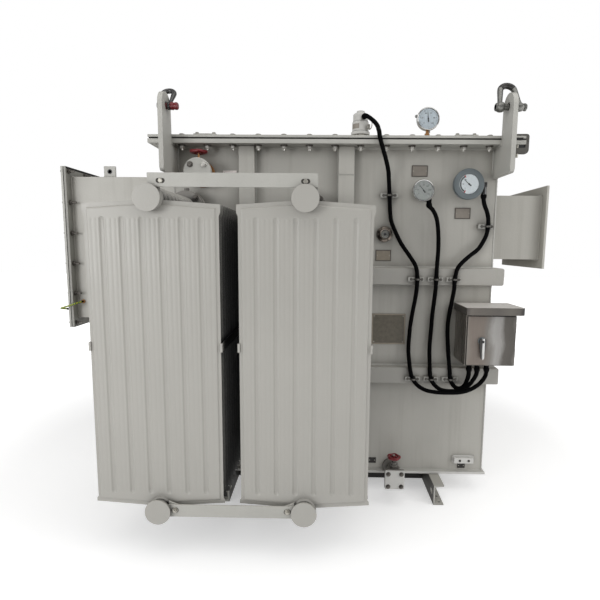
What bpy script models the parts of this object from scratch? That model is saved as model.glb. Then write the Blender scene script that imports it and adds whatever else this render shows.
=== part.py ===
# Power transformer with panel radiators, side throats and a control box on its front wall.
# The frame is in metres: +X to the right of the front wall, +Y from front to rear, +Z up,
# with the origin on the ground at the centre of the footprint.

import math

import bmesh
import bpy
from mathutils import Matrix, Vector

# Gaps and shares used by every piece
SEAT = 0.0003
OVERRUN = 0.004
SINK = 0.003
ROUND_SIDES = 24
SMALL_SIDES = 16
BAR_SIDES = 10
SPOKE_SIDES = 8
NUT_SIDES = 6
MERGE = 0.0001
WELD = 0.00001
HALF = 1 / 2
RIGHT_ANGLE = math.pi / 2
SHARP_EDGE = math.radians(35)

# Tank
TANK_LENGTH = 1.528
TANK_DEPTH = 0.900
WALL = 0.008
RIM_UNDERSIDE = 1.699
RIB_PLACES = (-0.410, 0.053)
RIB_WIDTH = 0.074

# Base
SKID_HEIGHT = 0.100
SKID_FLANGE = 0.050
SKID_WEB = 0.0055
SKID_LIP = 0.008
SKID_PLACE = 0.495
SKID_OVERHANG = 0.130
CROSS_PLACE = 0.324
BASE_THICKNESS = 0.012
BASE_LIP = 0.015

# Rim and cover
RIM_LIP = 0.087
RIM_THICKNESS = 0.020
RIM_COVERS_WALL = 0.030
GASKET_THICKNESS = 0.006
GASKET_INSET = 0.006
COVER_THICKNESS = 0.012
HANDHOLE_WIDTH = 0.108
HANDHOLE_DEPTH = 0.150
HANDHOLE_HEIGHT = 0.026
HANDHOLE_PLACE = 0.614
HANDHOLE_SETBACK = 0.370

# Belts
BELT_HEIGHT = 0.082
BELT_DEPTH = 0.042
UPPER_BELT_FOOT = 1.060
LOWER_BELT_FOOT = 0.577

# Radiators
BANK_PLACES = (-0.683, -0.115)
PANEL_WIDTH = 0.510
PANEL_THICKNESS = 0.012
PANEL_PITCH = 0.045
PANEL_COUNT = 10
BANK_FRONT = 0.975
HEADER_LOW = 0.209
HEADER_SPAN = 1.200
HEADER_RADIUS = 0.038
PANEL_SHOULDER = 0.020
PANEL_PEAK = 0.012
FLUTE_PITCH = 0.073
FLUTES_EACH_SIDE = 3
FLUTE_WIDTH = 0.008
FLUTE_DEPTH = 0.0025
FLUTE_FOOT = 0.275
FLUTE_TOP = 1.334
CAP_RADIUS = 0.050
CAP_THICKNESS = 0.010
CAP_PROUD = 0.039
STUB_REACH = 0.050
FLANGE_RADIUS = 0.080
FLANGE_THICKNESS = 0.016
VALVE_THICKNESS = 0.040
LEVER_LENGTH = 0.050
LEVER_WIDTH = 0.022
LEVER_THICKNESS = 0.008
STRAP_HEIGHT = 0.034
STRAP_THICKNESS = 0.005
STRAP_LEVEL = 0.838
TIE_HEIGHT = 0.050
TIE_THICKNESS = 0.006
TIE_PLACE = 0.995
TIE_RIGHT_RUNOUT = 0.044
BRACKET_WIDTH = 0.044
BRACKET_THICKNESS = 0.006

# Lifting lugs and shackles
LUG_PLACE = 0.751
LUG_THICKNESS = 0.020
LUG_REACH = 0.200
LUG_FOOT = 1.560
LUG_CROWN = 1.843
LUG_EYE_HEIGHT = 1.8445
LUG_EYE_RADIUS = 0.0165
LUG_CORNER = 0.014
LUG_STEPS = 12
LUG_CORNER_STEPS = 4
PIN_RADIUS = 0.013
PIN_HEAD_RADIUS = 0.0165
BOW_HEIGHT = 0.118
BOW_STEPS = 10
CROWN_SWELL = 0.35

# Each shackle lies to one side on its pin: places along the pin are from the lug's middle
LEFT_SHACKLE = {
    "lean": math.radians(42), "inside": (-0.015, 0.031), "ear": 0.0145, "ear_radius": 0.017, "bar": 0.007,
    "crown": 0.0275, "pin": (-0.031, 0.0775), "heads": ((0.046, 0.0775),),
}
RIGHT_SHACKLE = {
    "lean": math.radians(27), "inside": (-0.0315, 0.0245), "ear": 0.028, "ear_radius": 0.0215, "bar": 0.010,
    "crown": 0.031, "pin": (-0.066, 0.066), "heads": ((-0.066, -0.060), (0.053, 0.066)),
}

# Side throats
THROAT_DEPTH = 0.440
THROAT_WALL = 0.006
THROAT_LIP = 0.047
THROAT_FLANGE = 0.012
LEFT_REACH = 1.384
LEFT_THROAT_FOOT = 0.843
LEFT_THROAT_TOP = 1.593
RIGHT_REACH = 1.087
RIGHT_THROAT_FOOT = 1.180
RIGHT_THROAT_TOP = 1.510
BLANK_THICKNESS = 0.015
EYE_PLATE_WIDTH = 0.062
EYE_PLATE_HEIGHT = 0.056
EYE_PLATE_THICKNESS = 0.008
EYE_PLATE_PLACE = 1.180
EYE_PLATE_HOLE = 0.010
BUSHING_PITCH = 0.130
BUSHING_COUNT = 3
BUSHING_PLATE = 0.010
BUSHING_LENGTH = 0.150
BUSHING_RADIUS = 0.036
BUSHING_STUD = 0.010
BUSHING_STUD_LENGTH = 0.060
BUSHING_SHEDS = 5

# Cover clamps
CLAMP_WIDTH = 0.014
CLAMP_REACH = 0.050
CLAMP_BAR = 0.015
CLAMP_FINGER = 0.009
CLAMP_JAW = 0.026
CLAMP_FOOT = 1.6595
CLAMP_SETBACK = 0.0125
CLAMP_SCREW = 0.006

# Instruments on the cover
RELIEF_PLACE = (0.126, -0.330)
RELIEF_BASE_RADIUS = 0.046
RELIEF_BASE_HEIGHT = 0.070
RELIEF_BODY_RADIUS = 0.041
RELIEF_BODY_HEIGHT = 0.038
RELIEF_HOOD_RADIUS = 0.037
RELIEF_HOOD_HEIGHT = 0.040
RELIEF_CAP_RADIUS = 0.020
RELIEF_CAP_HEIGHT = 0.012
BEZEL_SHARE = 0.12
PRESSURE_PLACE = (0.449, -0.350)
PRESSURE_HEIGHT = 1.854
PRESSURE_RADIUS = 0.0545
PRESSURE_DEPTH = 0.038
STEM_RADIUS = 0.009
STEM_NUT_RADIUS = 0.014
STEM_NUT_HEIGHT = 0.016

# Instruments on the front wall
LEVEL_PLACE = (0.606, 1.525)
LEVEL_RADIUS = 0.0695
LEVEL_FRONT = 0.092
LEVEL_DEPTH = 0.040
THERMO_PLACE = (0.400, 1.494)
THERMO_RADIUS = 0.0505
THERMO_FRONT = 0.102
THERMO_DEPTH = 0.044
NECK_RADIUS = 0.022
GLAND_RADIUS = 0.0115
GLAND_LENGTH = 0.026
GLAND_ELBOW = 0.024
GLAND_ROOT_SHARE = 0.6
SIGHT_PLACE = (0.240, 1.300)
SIGHT_RADIUS = 0.037
SIGHT_DEPTH = 0.024
SIGHT_RING_RADIUS = 0.026
SIGHT_RING_DEPTH = 0.012
PAD_PLACE = (0.667, 0.1755)
PAD_WIDTH = 0.098
PAD_HEIGHT = 0.029
PAD_THICKNESS = 0.024

# Terminal box
BOX_LEFT = 0.598
BOX_RIGHT = 0.822
BOX_FOOT = 0.705
BOX_TOP = 0.941
BOX_DEPTH = 0.168
BOX_WALL = 0.003
LID_HEIGHT = 0.034
LID_LEFT = 0.009
LID_RIGHT = 0.028
LID_FRONT = 0.030
DOOR_THICKNESS = 0.012
DOOR_TOP_GAP = 0.005
DOOR_SIDE = 0.003
HINGE_RADIUS = 0.0035
HINGE_INSET = 0.0005
HINGE_LENGTH = 0.040
HINGE_INSET_SHARE = 0.16
HANDLE_PLACE = (0.668, 0.823)
HANDLE_ROSETTE = 0.018
HANDLE_STANDOFF = 0.022
HANDLE_LENGTH = 0.082
HANDLE_WIDTH = 0.022
HANDLE_THICKNESS = 0.012
ENTRY_PLACES = (0.640, 0.677, 0.721)
ENTRY_SETBACK = 0.560

# Upper valve
UPPER_VALVE_PLACE = (-0.624, 1.571)
UPPER_BLANK_RADIUS = 0.0625
UPPER_FACE = 0.105
UPPER_FLANGE_RADIUS = 0.060
VALVE_PLATE = 0.012
UPPER_PIPE_RADIUS = 0.020
UPPER_BODY_RADIUS = 0.030
UPPER_BODY_LENGTH = 0.046
UPPER_BONNET_RADIUS = 0.013
UPPER_WHEEL_HEIGHT = 1.655
UPPER_WHEEL_RADIUS = 0.041
WHEEL_RIM = 0.0055
WHEEL_HUB_RADIUS = 0.009
WHEEL_HUB_HEIGHT = 0.016
WHEEL_SPOKE = 0.004
WHEEL_SPOKES = 5
VALVE_STEM_RADIUS = 0.005

# Drain valve
DRAIN_PLACE = (0.302, 0.134)
DRAIN_BLANK = 0.093
DRAIN_FACE = 0.150
DRAIN_PIPE_RADIUS = 0.017
DRAIN_BODY_RADIUS = 0.030
DRAIN_BODY_LENGTH = 0.060
DRAIN_BONNET_RADIUS = 0.020
DRAIN_WHEEL_HEIGHT = 0.222
DRAIN_WHEEL_RADIUS = 0.034
DRAIN_STEM_PLACE = 0.105

# Conduits and the bonding jumper
CONDUIT_RADIUS = 0.0105
CONDUIT_STEP = 0.040
CLIP_WIDTH = 0.060
CLIP_HEIGHT = 0.016
CLIP_THICKNESS = 0.003
JUMPER_RADIUS = 0.0045
JUMPER_STEP = 0.018
CURVE_SIDES = 2

# Hand-chosen points of the conduits, from their upper end to the terminal box
RELIEF_ROUTE = (
    (0.1394, -0.3780, 1.859), (0.1448, -0.3973, 1.859), (0.162, -0.411, 1.846), (0.183, -0.432, 1.822),
    (0.194, -0.464, 1.796), (0.195, -0.502, 1.772), (0.194, -0.540, 1.753), (0.195, -0.557, 1.730),
    (0.203, -0.559, 1.697), (0.2155, -0.553, 1.662), (0.230, -0.536, 1.625), (0.2435, -0.510, 1.587),
    (0.251, -0.486, 1.545), (0.258, -0.470, 1.482), (0.262, -0.468, 1.420),
    (0.268, -0.470, 1.367), (0.285, -0.476, 1.320), (0.318, -0.486, 1.254), (0.358, -0.500, 1.195),
    (0.386, -0.507, 1.147), (0.394, -0.507, 1.094), (0.393, -0.507, 1.045), (0.390, -0.492, 0.990),
    (0.381, -0.482, 0.920), (0.373, -0.480, 0.852), (0.368, -0.484, 0.748), (0.371, -0.500, 0.690),
    (0.376, -0.507, 0.649), (0.3855, -0.508, 0.615), (0.406, -0.513, 0.582), (0.4405, -0.530, 0.5615),
    (0.485, -0.548, 0.5555), (0.548, -0.557, 0.5555), (0.604, -0.564, 0.561), (0.648, -0.569, 0.577),
    (0.686, -0.572, 0.604), (0.712, -0.566, 0.633),
)
THERMO_ROUTE = (
    (0.432, -0.522, 1.437), (0.432, -0.522, 1.427), (0.450, -0.517, 1.413), (0.4715, -0.506, 1.3785),
    (0.482, -0.500, 1.338), (0.4875, -0.500, 1.279), (0.488, -0.502, 1.220), (0.484, -0.507, 1.151),
    (0.483, -0.507, 1.095), (0.482, -0.507, 1.045), (0.481, -0.492, 0.985), (0.477, -0.482, 0.910),
    (0.475, -0.480, 0.853), (0.470, -0.484, 0.760), (0.469, -0.500, 0.690), (0.471, -0.507, 0.643),
    (0.4755, -0.508, 0.614), (0.490, -0.511, 0.583), (0.520, -0.520, 0.560), (0.5555, -0.530, 0.5555),
    (0.5975, -0.534, 0.559), (0.634, -0.538, 0.5745), (0.656, -0.548, 0.602), (0.670, -0.557, 0.632),
)
LEVEL_ROUTE = (
    (0.684, -0.508, 1.480), (0.684, -0.508, 1.468), (0.692, -0.499, 1.440), (0.7145, -0.485, 1.396),
    (0.725, -0.472, 1.352), (0.720, -0.472, 1.305), (0.705, -0.476, 1.270), (0.678, -0.484, 1.231),
    (0.640, -0.496, 1.203), (0.600, -0.505, 1.168), (0.580, -0.507, 1.140), (0.571, -0.507, 1.096),
    (0.569, -0.507, 1.045), (0.566, -0.492, 0.990), (0.557, -0.482, 0.910), (0.554, -0.480, 0.850),
    (0.557, -0.484, 0.780), (0.562, -0.500, 0.690), (0.566, -0.507, 0.645), (0.568, -0.507, 0.622),
    (0.5775, -0.507, 0.5885), (0.5975, -0.507, 0.566), (0.621, -0.509, 0.564), (0.638, -0.514, 0.580),
    (0.644, -0.527, 0.609), (0.642, -0.550, 0.636),
)
JUMPER_ROUTE = (
    (-1.352, -0.2203, 0.932), (-1.352, -0.242, 0.932), (-1.366, -0.278, 0.926), (-1.392, -0.285, 0.917),
    (-1.424, -0.284, 0.907), (-1.445, -0.277, 0.901), (-1.450, -0.262, 0.897), (-1.442, -0.248, 0.894),
    (-1.428, -0.240, 0.892), (-1.4162, -0.238, 0.891),
)

# Heights and planes that several pieces share
FRONT = -TANK_DEPTH * HALF
BASE_TOP = SKID_HEIGHT + SEAT + BASE_THICKNESS
WALL_FOOT = BASE_TOP + SEAT
WALL_TOP = RIM_UNDERSIDE - SEAT
RIM_TOP = RIM_UNDERSIDE + RIM_THICKNESS
COVER_FOOT = RIM_TOP + GASKET_THICKNESS
COVER_TOP = COVER_FOOT + COVER_THICKNESS
RIM_FRONT = FRONT - RIM_LIP
BELT_FRONT = FRONT - BELT_DEPTH
HEADER_HIGH = HEADER_LOW + HEADER_SPAN
CAP_FRONT = BANK_FRONT + CAP_PROUD
JUMPER_END = max(-point[0] for point in JUMPER_ROUTE) + JUMPER_RADIUS
TANK_X = (JUMPER_END - RIGHT_REACH - THROAT_FLANGE) * HALF

PARTS = "power_transformer"
TOOLS = "cutters"


def clear_scene():
    for thing in list(bpy.data.objects):
        bpy.data.objects.remove(thing, do_unlink=True)
    for name in (PARTS, TOOLS):
        bpy.context.scene.collection.children.link(bpy.data.collections.new(name))


def finish_of(name, colour, roughness, metallic):
    found = bpy.data.materials.get(name)
    if found:
        return found
    made = bpy.data.materials.new(name)
    made.use_nodes = True
    shader = made.node_tree.nodes["Principled BSDF"]
    shader.inputs["Base Color"].default_value = (*colour, 1)
    shader.inputs["Roughness"].default_value = roughness
    shader.inputs["Metallic"].default_value = metallic
    return made


def grey_paint():
    return finish_of("grey_paint", (0.60, 0.60, 0.57), 0.45, 0)


def dark_paint():
    return finish_of("dark_paint", (0.06, 0.06, 0.06), 0.5, 0)


def galvanised_steel():
    return finish_of("galvanised_steel", (0.48, 0.49, 0.50), 0.45, 0.9)


def stainless_steel():
    return finish_of("stainless_steel", (0.62, 0.60, 0.57), 0.3, 1)


def black_rubber():
    return finish_of("black_rubber", (0.02, 0.02, 0.02), 0.7, 0)


def brass():
    return finish_of("brass", (0.72, 0.53, 0.25), 0.3, 1)


def red_paint():
    return finish_of("red_paint", (0.50, 0.02, 0.03), 0.35, 0)


def gauge_grey():
    return finish_of("gauge_grey", (0.13, 0.14, 0.15), 0.4, 0)


def chrome():
    return finish_of("chrome", (0.75, 0.75, 0.76), 0.12, 1)


def porcelain():
    return finish_of("porcelain", (0.22, 0.09, 0.05), 0.2, 0)


def jumper_green():
    return finish_of("jumper_green", (0.42, 0.42, 0.05), 0.5, 0)


def link(name, data, parent, location=(0, 0, 0), rotation=(0, 0, 0)):
    thing = bpy.data.objects.new(name, data)
    bpy.data.collections[PARTS].objects.link(thing)
    thing.parent = parent
    thing.location = location
    thing.rotation_euler = rotation
    return thing


def empty(name, parent, location=(0, 0, 0), rotation=(0, 0, 0)):
    return link(name, None, parent, location, rotation)


def dress(thing, finish, smooth=False):
    thing.data.materials.clear()
    thing.data.materials.append(finish)
    if smooth:
        thing.data.shade_smooth()
        thing.data.set_sharp_from_angle(angle=SHARP_EDGE)
    return thing


def as_tool(thing):
    bpy.data.collections[PARTS].objects.unlink(thing)
    bpy.data.collections[TOOLS].objects.link(thing)
    thing.hide_render = True
    thing.display_type = "WIRE"


def combine(base, tools, operation):
    for tool in tools:
        as_tool(tool)
        step = base.modifiers.new(tool.name, "BOOLEAN")
        step.operation = operation
        step.solver = "EXACT"
        step.object = tool
    return base


def unite(base, *tools):
    return combine(base, tools, "UNION")


def cut(base, *tools):
    return combine(base, tools, "DIFFERENCE")


def box(name, parent, low, high):
    low, high = Vector(low), Vector(high)
    shell = bmesh.new()
    bmesh.ops.create_cube(shell, size=1, matrix=Matrix.Diagonal((*(high - low), 1)))
    mesh = bpy.data.meshes.new(name)
    shell.to_mesh(mesh)
    shell.free()
    return link(name, mesh, parent, (low + high) * HALF)


def rod(name, parent, start, end, radius, sides=ROUND_SIDES, end_radius=None):
    start, end = Vector(start), Vector(end)
    shell = bmesh.new()
    bmesh.ops.create_cone(
        shell, cap_ends=True, segments=sides, radius1=radius,
        radius2=radius if end_radius is None else end_radius, depth=(end - start).length,
    )
    mesh = bpy.data.meshes.new(name)
    shell.to_mesh(mesh)
    shell.free()
    turn = (end - start).to_track_quat("Z", "Y").to_euler()
    return link(name, mesh, parent, (start + end) * HALF, turn)


def turned(name, parent, location, rotation, profile, sides=ROUND_SIDES):
    """A profile of radius and height, listed from top to bottom, turned about its own Z axis."""
    shell = bmesh.new()
    points = [shell.verts.new((radius, 0, height)) for radius, height in profile]
    for upper, lower in zip(points, points[1:]):
        shell.edges.new((upper, lower))
    mesh = bpy.data.meshes.new(name)
    shell.to_mesh(mesh)
    shell.free()
    thing = link(name, mesh, parent, location, rotation)
    lathe = thing.modifiers.new("lathe", "SCREW")
    lathe.steps = sides
    lathe.render_steps = sides
    lathe.use_merge_vertices = True
    lathe.merge_threshold = MERGE
    return thing


def mesh_of(curve_object):
    """The closed mesh of a curve object, which takes the curve's place."""
    bpy.context.view_layer.update()
    shape = curve_object.evaluated_get(bpy.context.evaluated_depsgraph_get())
    mesh = bpy.data.meshes.new_from_object(shape)
    shell = bmesh.new()
    shell.from_mesh(mesh)
    bmesh.ops.remove_doubles(shell, verts=shell.verts, dist=WELD)
    shell.to_mesh(mesh)
    shell.free()
    name, parent = curve_object.name, curve_object.parent
    location, rotation = curve_object.location.copy(), curve_object.rotation_euler.copy()
    bpy.data.objects.remove(curve_object, do_unlink=True)
    return link(name, mesh, parent, location, rotation)


def plate(name, parent, outline, thickness, location=(0, 0, 0), rotation=(0, 0, 0)):
    """A flat outline in its own XY plane, half its thickness to each side."""
    curve = bpy.data.curves.new(name, "CURVE")
    curve.dimensions = "2D"
    curve.fill_mode = "BOTH"
    curve.extrude = thickness * HALF
    spline = curve.splines.new("POLY")
    spline.points.add(len(outline) - 1)
    for point, (x, y) in zip(spline.points, outline):
        point.co = (x, y, 0, 1)
    spline.use_cyclic_u = True
    return mesh_of(link(name, curve, parent, location, rotation))


def arc(centre, radius, first, last, steps):
    """Points on an arc, from the first angle to the last."""
    turn = (last - first) / steps
    return [
        (centre[0] + radius * math.cos(first + turn * k), centre[1] + radius * math.sin(first + turn * k))
        for k in range(steps + 1)
    ]


def smoothed(points, step):
    """Points about one step apart on a smooth curve through the points given."""
    route = [Vector(point) for point in points]
    ends = [route[0] * 2 - route[1], *route, route[-1] * 2 - route[-2]]
    found = []
    for before, start, end, after in zip(ends, ends[1:], ends[2:], ends[3:]):
        pieces = max(1, round((end - start).length / step))
        for k in range(pieces):
            t = k / pieces
            found.append(
                start + ((end - before) * t + (before * 2 - start * 5 + end * 4 - after) * t ** 2
                         + (start * 3 - before - end * 3 + after) * t ** 3) * HALF
            )
    return [*found, route[-1]]


def hoop(name, parent, location, radius, bar):
    """A closed ring of round bar lying flat."""
    shell = bmesh.new()
    loops = []
    for x, y in arc((0, 0), 1, 0, 2 * math.pi, ROUND_SIDES)[:-1]:
        section = arc((radius, 0), bar, 0, 2 * math.pi, BAR_SIDES)[:-1]
        loops.append([shell.verts.new((out * x, out * y, height)) for out, height in section])
    for near, far in zip(loops, loops[1:] + loops[:1]):
        for k in range(BAR_SIDES):
            after = (k + 1) % BAR_SIDES
            shell.faces.new((near[k], far[k], far[after], near[after]))
    mesh = bpy.data.meshes.new(name)
    shell.to_mesh(mesh)
    shell.free()
    return link(name, mesh, parent, location)


def tube(name, parent, points, radius, swells=()):
    """A round bar along the points, as much thicker at each as its swell says."""
    curve = bpy.data.curves.new(name, "CURVE")
    curve.dimensions = "3D"
    curve.bevel_depth = radius
    curve.bevel_resolution = CURVE_SIDES
    curve.use_fill_caps = True
    spline = curve.splines.new("POLY")
    spline.points.add(len(points) - 1)
    for point, place in zip(spline.points, points):
        point.co = (*place, 1)
    for point, swell in zip(spline.points, swells):
        point.radius = 1 + swell
    return link(name, curve, parent)


def skid(tank, name, side):
    """A channel on its edge whose open side faces out."""
    length = TANK_DEPTH + 2 * SKID_OVERHANG
    web, flange = SKID_PLACE, SKID_PLACE + SKID_FLANGE
    outline = [
        (web, 0), (flange, 0), (flange, SKID_LIP), (web + SKID_WEB, SKID_LIP),
        (web + SKID_WEB, SKID_HEIGHT - SKID_LIP), (flange, SKID_HEIGHT - SKID_LIP),
        (flange, SKID_HEIGHT), (web, SKID_HEIGHT),
    ]
    if side < 0:
        outline = [(-x, z) for x, z in reversed(outline)]
    return dress(plate(name, tank, outline, length, rotation=(RIGHT_ANGLE, 0, 0)), grey_paint())


def cross_member(tank, name, side):
    """A channel between the skids, open towards the middle of the tank."""
    web, flange = CROSS_PLACE, CROSS_PLACE - SKID_FLANGE
    outline = [
        (web, 0), (web, SKID_HEIGHT), (flange, SKID_HEIGHT), (flange, SKID_HEIGHT - SKID_LIP),
        (web - SKID_WEB, SKID_HEIGHT - SKID_LIP), (web - SKID_WEB, SKID_LIP), (flange, SKID_LIP), (flange, 0),
    ]
    outline = [(y * side, z) for y, z in (outline if side < 0 else reversed(outline))]
    length = 2 * (SKID_PLACE - SEAT)
    return dress(plate(name, tank, outline, length, rotation=(RIGHT_ANGLE, 0, RIGHT_ANGLE)), grey_paint())


def base_plate(tank):
    x, y = TANK_LENGTH * HALF + BASE_LIP, TANK_DEPTH * HALF + BASE_LIP
    made = box("base_plate", tank, (-x, -y, SKID_HEIGHT + SEAT), (x, y, BASE_TOP))
    return dress(made, grey_paint())


def ribs(name, side):
    """Stiffeners that stop short of the belts crossing them."""
    spans = (
        (WALL_FOOT, LOWER_BELT_FOOT - SEAT),
        (LOWER_BELT_FOOT + BELT_HEIGHT + SEAT, UPPER_BELT_FOOT - SEAT),
        (UPPER_BELT_FOOT + BELT_HEIGHT + SEAT, WALL_TOP),
    )
    made = []
    for place in RIB_PLACES:
        for low, high in spans:
            made.append(box(
                f"{name}_rib", side, (place - RIB_WIDTH * HALF, BELT_FRONT, low),
                (place + RIB_WIDTH * HALF, FRONT + WALL * HALF, high),
            ))
    return made


def header_stubs(name, side):
    """Short flanged pipes that the radiators bolt to."""
    made = []
    for place in BANK_PLACES:
        for level in (HEADER_LOW, HEADER_HIGH):
            reach = FRONT - STUB_REACH
            made.append(rod(
                f"{name}_stub", side, (place, FRONT + WALL * HALF, level), (place, reach, level), HEADER_RADIUS,
            ))
            made.append(rod(
                f"{name}_flange", side, (place, reach + FLANGE_THICKNESS, level), (place, reach, level),
                FLANGE_RADIUS,
            ))
    return made


def ground_pad(name, side):
    x, z = PAD_PLACE
    return box(
        f"{name}_pad", side, (x - PAD_WIDTH * HALF, FRONT - PAD_THICKNESS, z - PAD_HEIGHT * HALF),
        (x + PAD_WIDTH * HALF, FRONT + WALL * HALF, z + PAD_HEIGHT * HALF),
    )


def long_wall(side, name):
    x = TANK_LENGTH * HALF
    made = box(name, side, (-x, FRONT, WALL_FOOT), (x, FRONT + WALL, WALL_TOP))
    unite(made, *ribs(name, side), *header_stubs(name, side), ground_pad(name, side))
    return dress(made, grey_paint())


def end_wall(tank, name, side):
    outer, inner = TANK_LENGTH * HALF * side, (TANK_LENGTH * HALF - WALL) * side
    y = TANK_DEPTH * HALF - WALL - SEAT
    made = box(name, tank, (min(outer, inner), -y, WALL_FOOT), (max(outer, inner), y, WALL_TOP))
    return dress(made, grey_paint())


def ring(name, tank, out, inner, low, high):
    """A rectangular frame round the tank: out and inner are distances from the walls' outer faces."""
    x, y = TANK_LENGTH * HALF, TANK_DEPTH * HALF
    made = box(name, tank, (-x - out, -y - out, low), (x + out, y + out, high))
    hole = box(
        f"{name}_hole", tank, (-x - inner, -y - inner, low - OVERRUN), (x + inner, y + inner, high + OVERRUN),
    )
    return cut(made, hole)


def belt(tank, name, foot):
    made = ring(name, tank, BELT_DEPTH, SEAT, foot, foot + BELT_HEIGHT)
    if LEFT_THROAT_FOOT < foot + BELT_HEIGHT and foot < LEFT_THROAT_TOP:
        x, y = TANK_LENGTH * HALF, THROAT_DEPTH * HALF + SEAT
        cut(made, box(
            f"{name}_throat", tank, (-x - BELT_DEPTH - OVERRUN, -y, foot - OVERRUN),
            (-x + OVERRUN, y, foot + BELT_HEIGHT + OVERRUN),
        ))
    return dress(made, grey_paint())


def rim_and_cover(tank):
    dress(ring("tank_rim", tank, RIM_LIP, -RIM_COVERS_WALL, RIM_UNDERSIDE, RIM_TOP), grey_paint())
    dress(ring(
        "cover_gasket", tank, RIM_LIP - GASKET_INSET, -RIM_COVERS_WALL, RIM_TOP + SEAT, COVER_FOOT - SEAT,
    ), black_rubber())
    x, y = TANK_LENGTH * HALF + RIM_LIP, TANK_DEPTH * HALF + RIM_LIP
    dress(box("tank_cover", tank, (-x, -y, COVER_FOOT), (x, y, COVER_TOP)), grey_paint())


def handhole_cover(tank, name, side):
    x, y = HANDHOLE_PLACE * side, -HANDHOLE_SETBACK
    made = box(
        name, tank, (x - HANDHOLE_WIDTH * HALF, y - HANDHOLE_DEPTH * HALF, COVER_TOP + SEAT),
        (x + HANDHOLE_WIDTH * HALF, y + HANDHOLE_DEPTH * HALF, COVER_TOP + HANDHOLE_HEIGHT),
    )
    return dress(made, grey_paint())


def panel_outline():
    """One radiator panel: square shoulders, with its ends rising to the header."""
    half, low, high = PANEL_WIDTH * HALF, HEADER_LOW, HEADER_HIGH
    return [
        (-half, low + PANEL_SHOULDER), (0, low + PANEL_PEAK - PANEL_SHOULDER * HALF),
        (half, low + PANEL_SHOULDER), (half, high - PANEL_SHOULDER),
        (0, high - PANEL_PEAK + PANEL_SHOULDER * HALF), (-half, high - PANEL_SHOULDER),
    ]


def header(name, side, place, level):
    """A header pipe with its end cap, its flange and the valve body between it and the tank."""
    mouth = FRONT - STUB_REACH - SEAT
    inner = (place, mouth, level)

    def along(y):
        return (place, y, level)

    return [
        rod(f"{name}_header", side, inner, along(-CAP_FRONT + CAP_THICKNESS * HALF), HEADER_RADIUS),
        rod(f"{name}_cap", side, along(-CAP_FRONT), along(-CAP_FRONT + CAP_THICKNESS), CAP_RADIUS),
        rod(f"{name}_valve", side, inner, along(mouth - VALVE_THICKNESS), FLANGE_RADIUS),
    ]


def flutes(name, side, place):
    """Tools for the upright grooves pressed into the outermost panel."""
    made = []
    for k in range(-FLUTES_EACH_SIDE, FLUTES_EACH_SIDE + 1):
        x = place + k * FLUTE_PITCH
        made.append(box(
            f"{name}_flute", side, (x - FLUTE_WIDTH * HALF, -BANK_FRONT - OVERRUN, FLUTE_FOOT),
            (x + FLUTE_WIDTH * HALF, -BANK_FRONT + FLUTE_DEPTH, FLUTE_TOP),
        ))
    return made


def valve_lever(name, side, place, level):
    y = FRONT - STUB_REACH - VALVE_THICKNESS * HALF
    top = level + FLANGE_RADIUS
    return box(
        f"{name}_lever", side, (place - LEVER_WIDTH * HALF, y - LEVER_THICKNESS * HALF, top - OVERRUN),
        (place + LEVER_WIDTH * HALF, y + LEVER_THICKNESS * HALF, top + LEVER_LENGTH * HALF),
    )


def edge_strap(name, side, place, edge):
    """A flat strap along the panels' edges at mid height."""
    x = place + edge * PANEL_WIDTH * HALF
    rear = BANK_FRONT - PANEL_PITCH * (PANEL_COUNT - 1) - PANEL_THICKNESS
    return box(
        f"{name}_strap", side, (min(x, x + edge * STRAP_THICKNESS) - OVERRUN * HALF, -BANK_FRONT, STRAP_LEVEL),
        (max(x, x + edge * STRAP_THICKNESS) + OVERRUN * HALF, -rear, STRAP_LEVEL + STRAP_HEIGHT),
    )


def tie_bracket(name, side, place):
    """The upright ear on the upper header that the top tie bar bolts to."""
    y = -TIE_PLACE + TIE_THICKNESS * HALF + SEAT
    return box(
        f"{name}_bracket", side, (place, y, HEADER_HIGH),
        (place + BRACKET_WIDTH, y + BRACKET_THICKNESS, HEADER_HIGH + HEADER_RADIUS + TIE_HEIGHT),
    )


def radiator(side, name, place):
    first = plate(
        name, side, [(place + x, z) for x, z in panel_outline()], PANEL_THICKNESS,
        (0, -BANK_FRONT + PANEL_THICKNESS * HALF, 0), (RIGHT_ANGLE, 0, 0),
    )
    row = first.modifiers.new("panels", "ARRAY")
    row.count = PANEL_COUNT
    row.use_relative_offset = False
    row.use_constant_offset = True
    row.constant_offset_displace = (0, 0, -PANEL_PITCH)
    pieces = [
        *header(name, side, place, HEADER_LOW), *header(name, side, place, HEADER_HIGH),
        valve_lever(name, side, place, HEADER_HIGH), tie_bracket(name, side, place),
        edge_strap(name, side, place, -1), edge_strap(name, side, place, 1),
    ]
    unite(first, *pieces)
    cut(first, *flutes(name, side, place))
    return dress(first, grey_paint())


def tie_bars(side, name):
    y = TIE_THICKNESS * HALF
    left, right = BANK_PLACES
    foot = HEADER_HIGH + HEADER_RADIUS + SEAT
    dress(box(
        f"{name}_top_tie_bar", side, (left, -TIE_PLACE - y, foot),
        (right + TIE_RIGHT_RUNOUT, -TIE_PLACE + y, foot + TIE_HEIGHT),
    ), grey_paint())
    dress(box(
        f"{name}_bottom_tie_bar", side, (left + HEADER_RADIUS + SEAT, -TIE_PLACE - y, HEADER_LOW - TIE_HEIGHT * HALF),
        (right - HEADER_RADIUS - SEAT, -TIE_PLACE + y, HEADER_LOW + TIE_HEIGHT * HALF),
    ), grey_paint())


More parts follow.
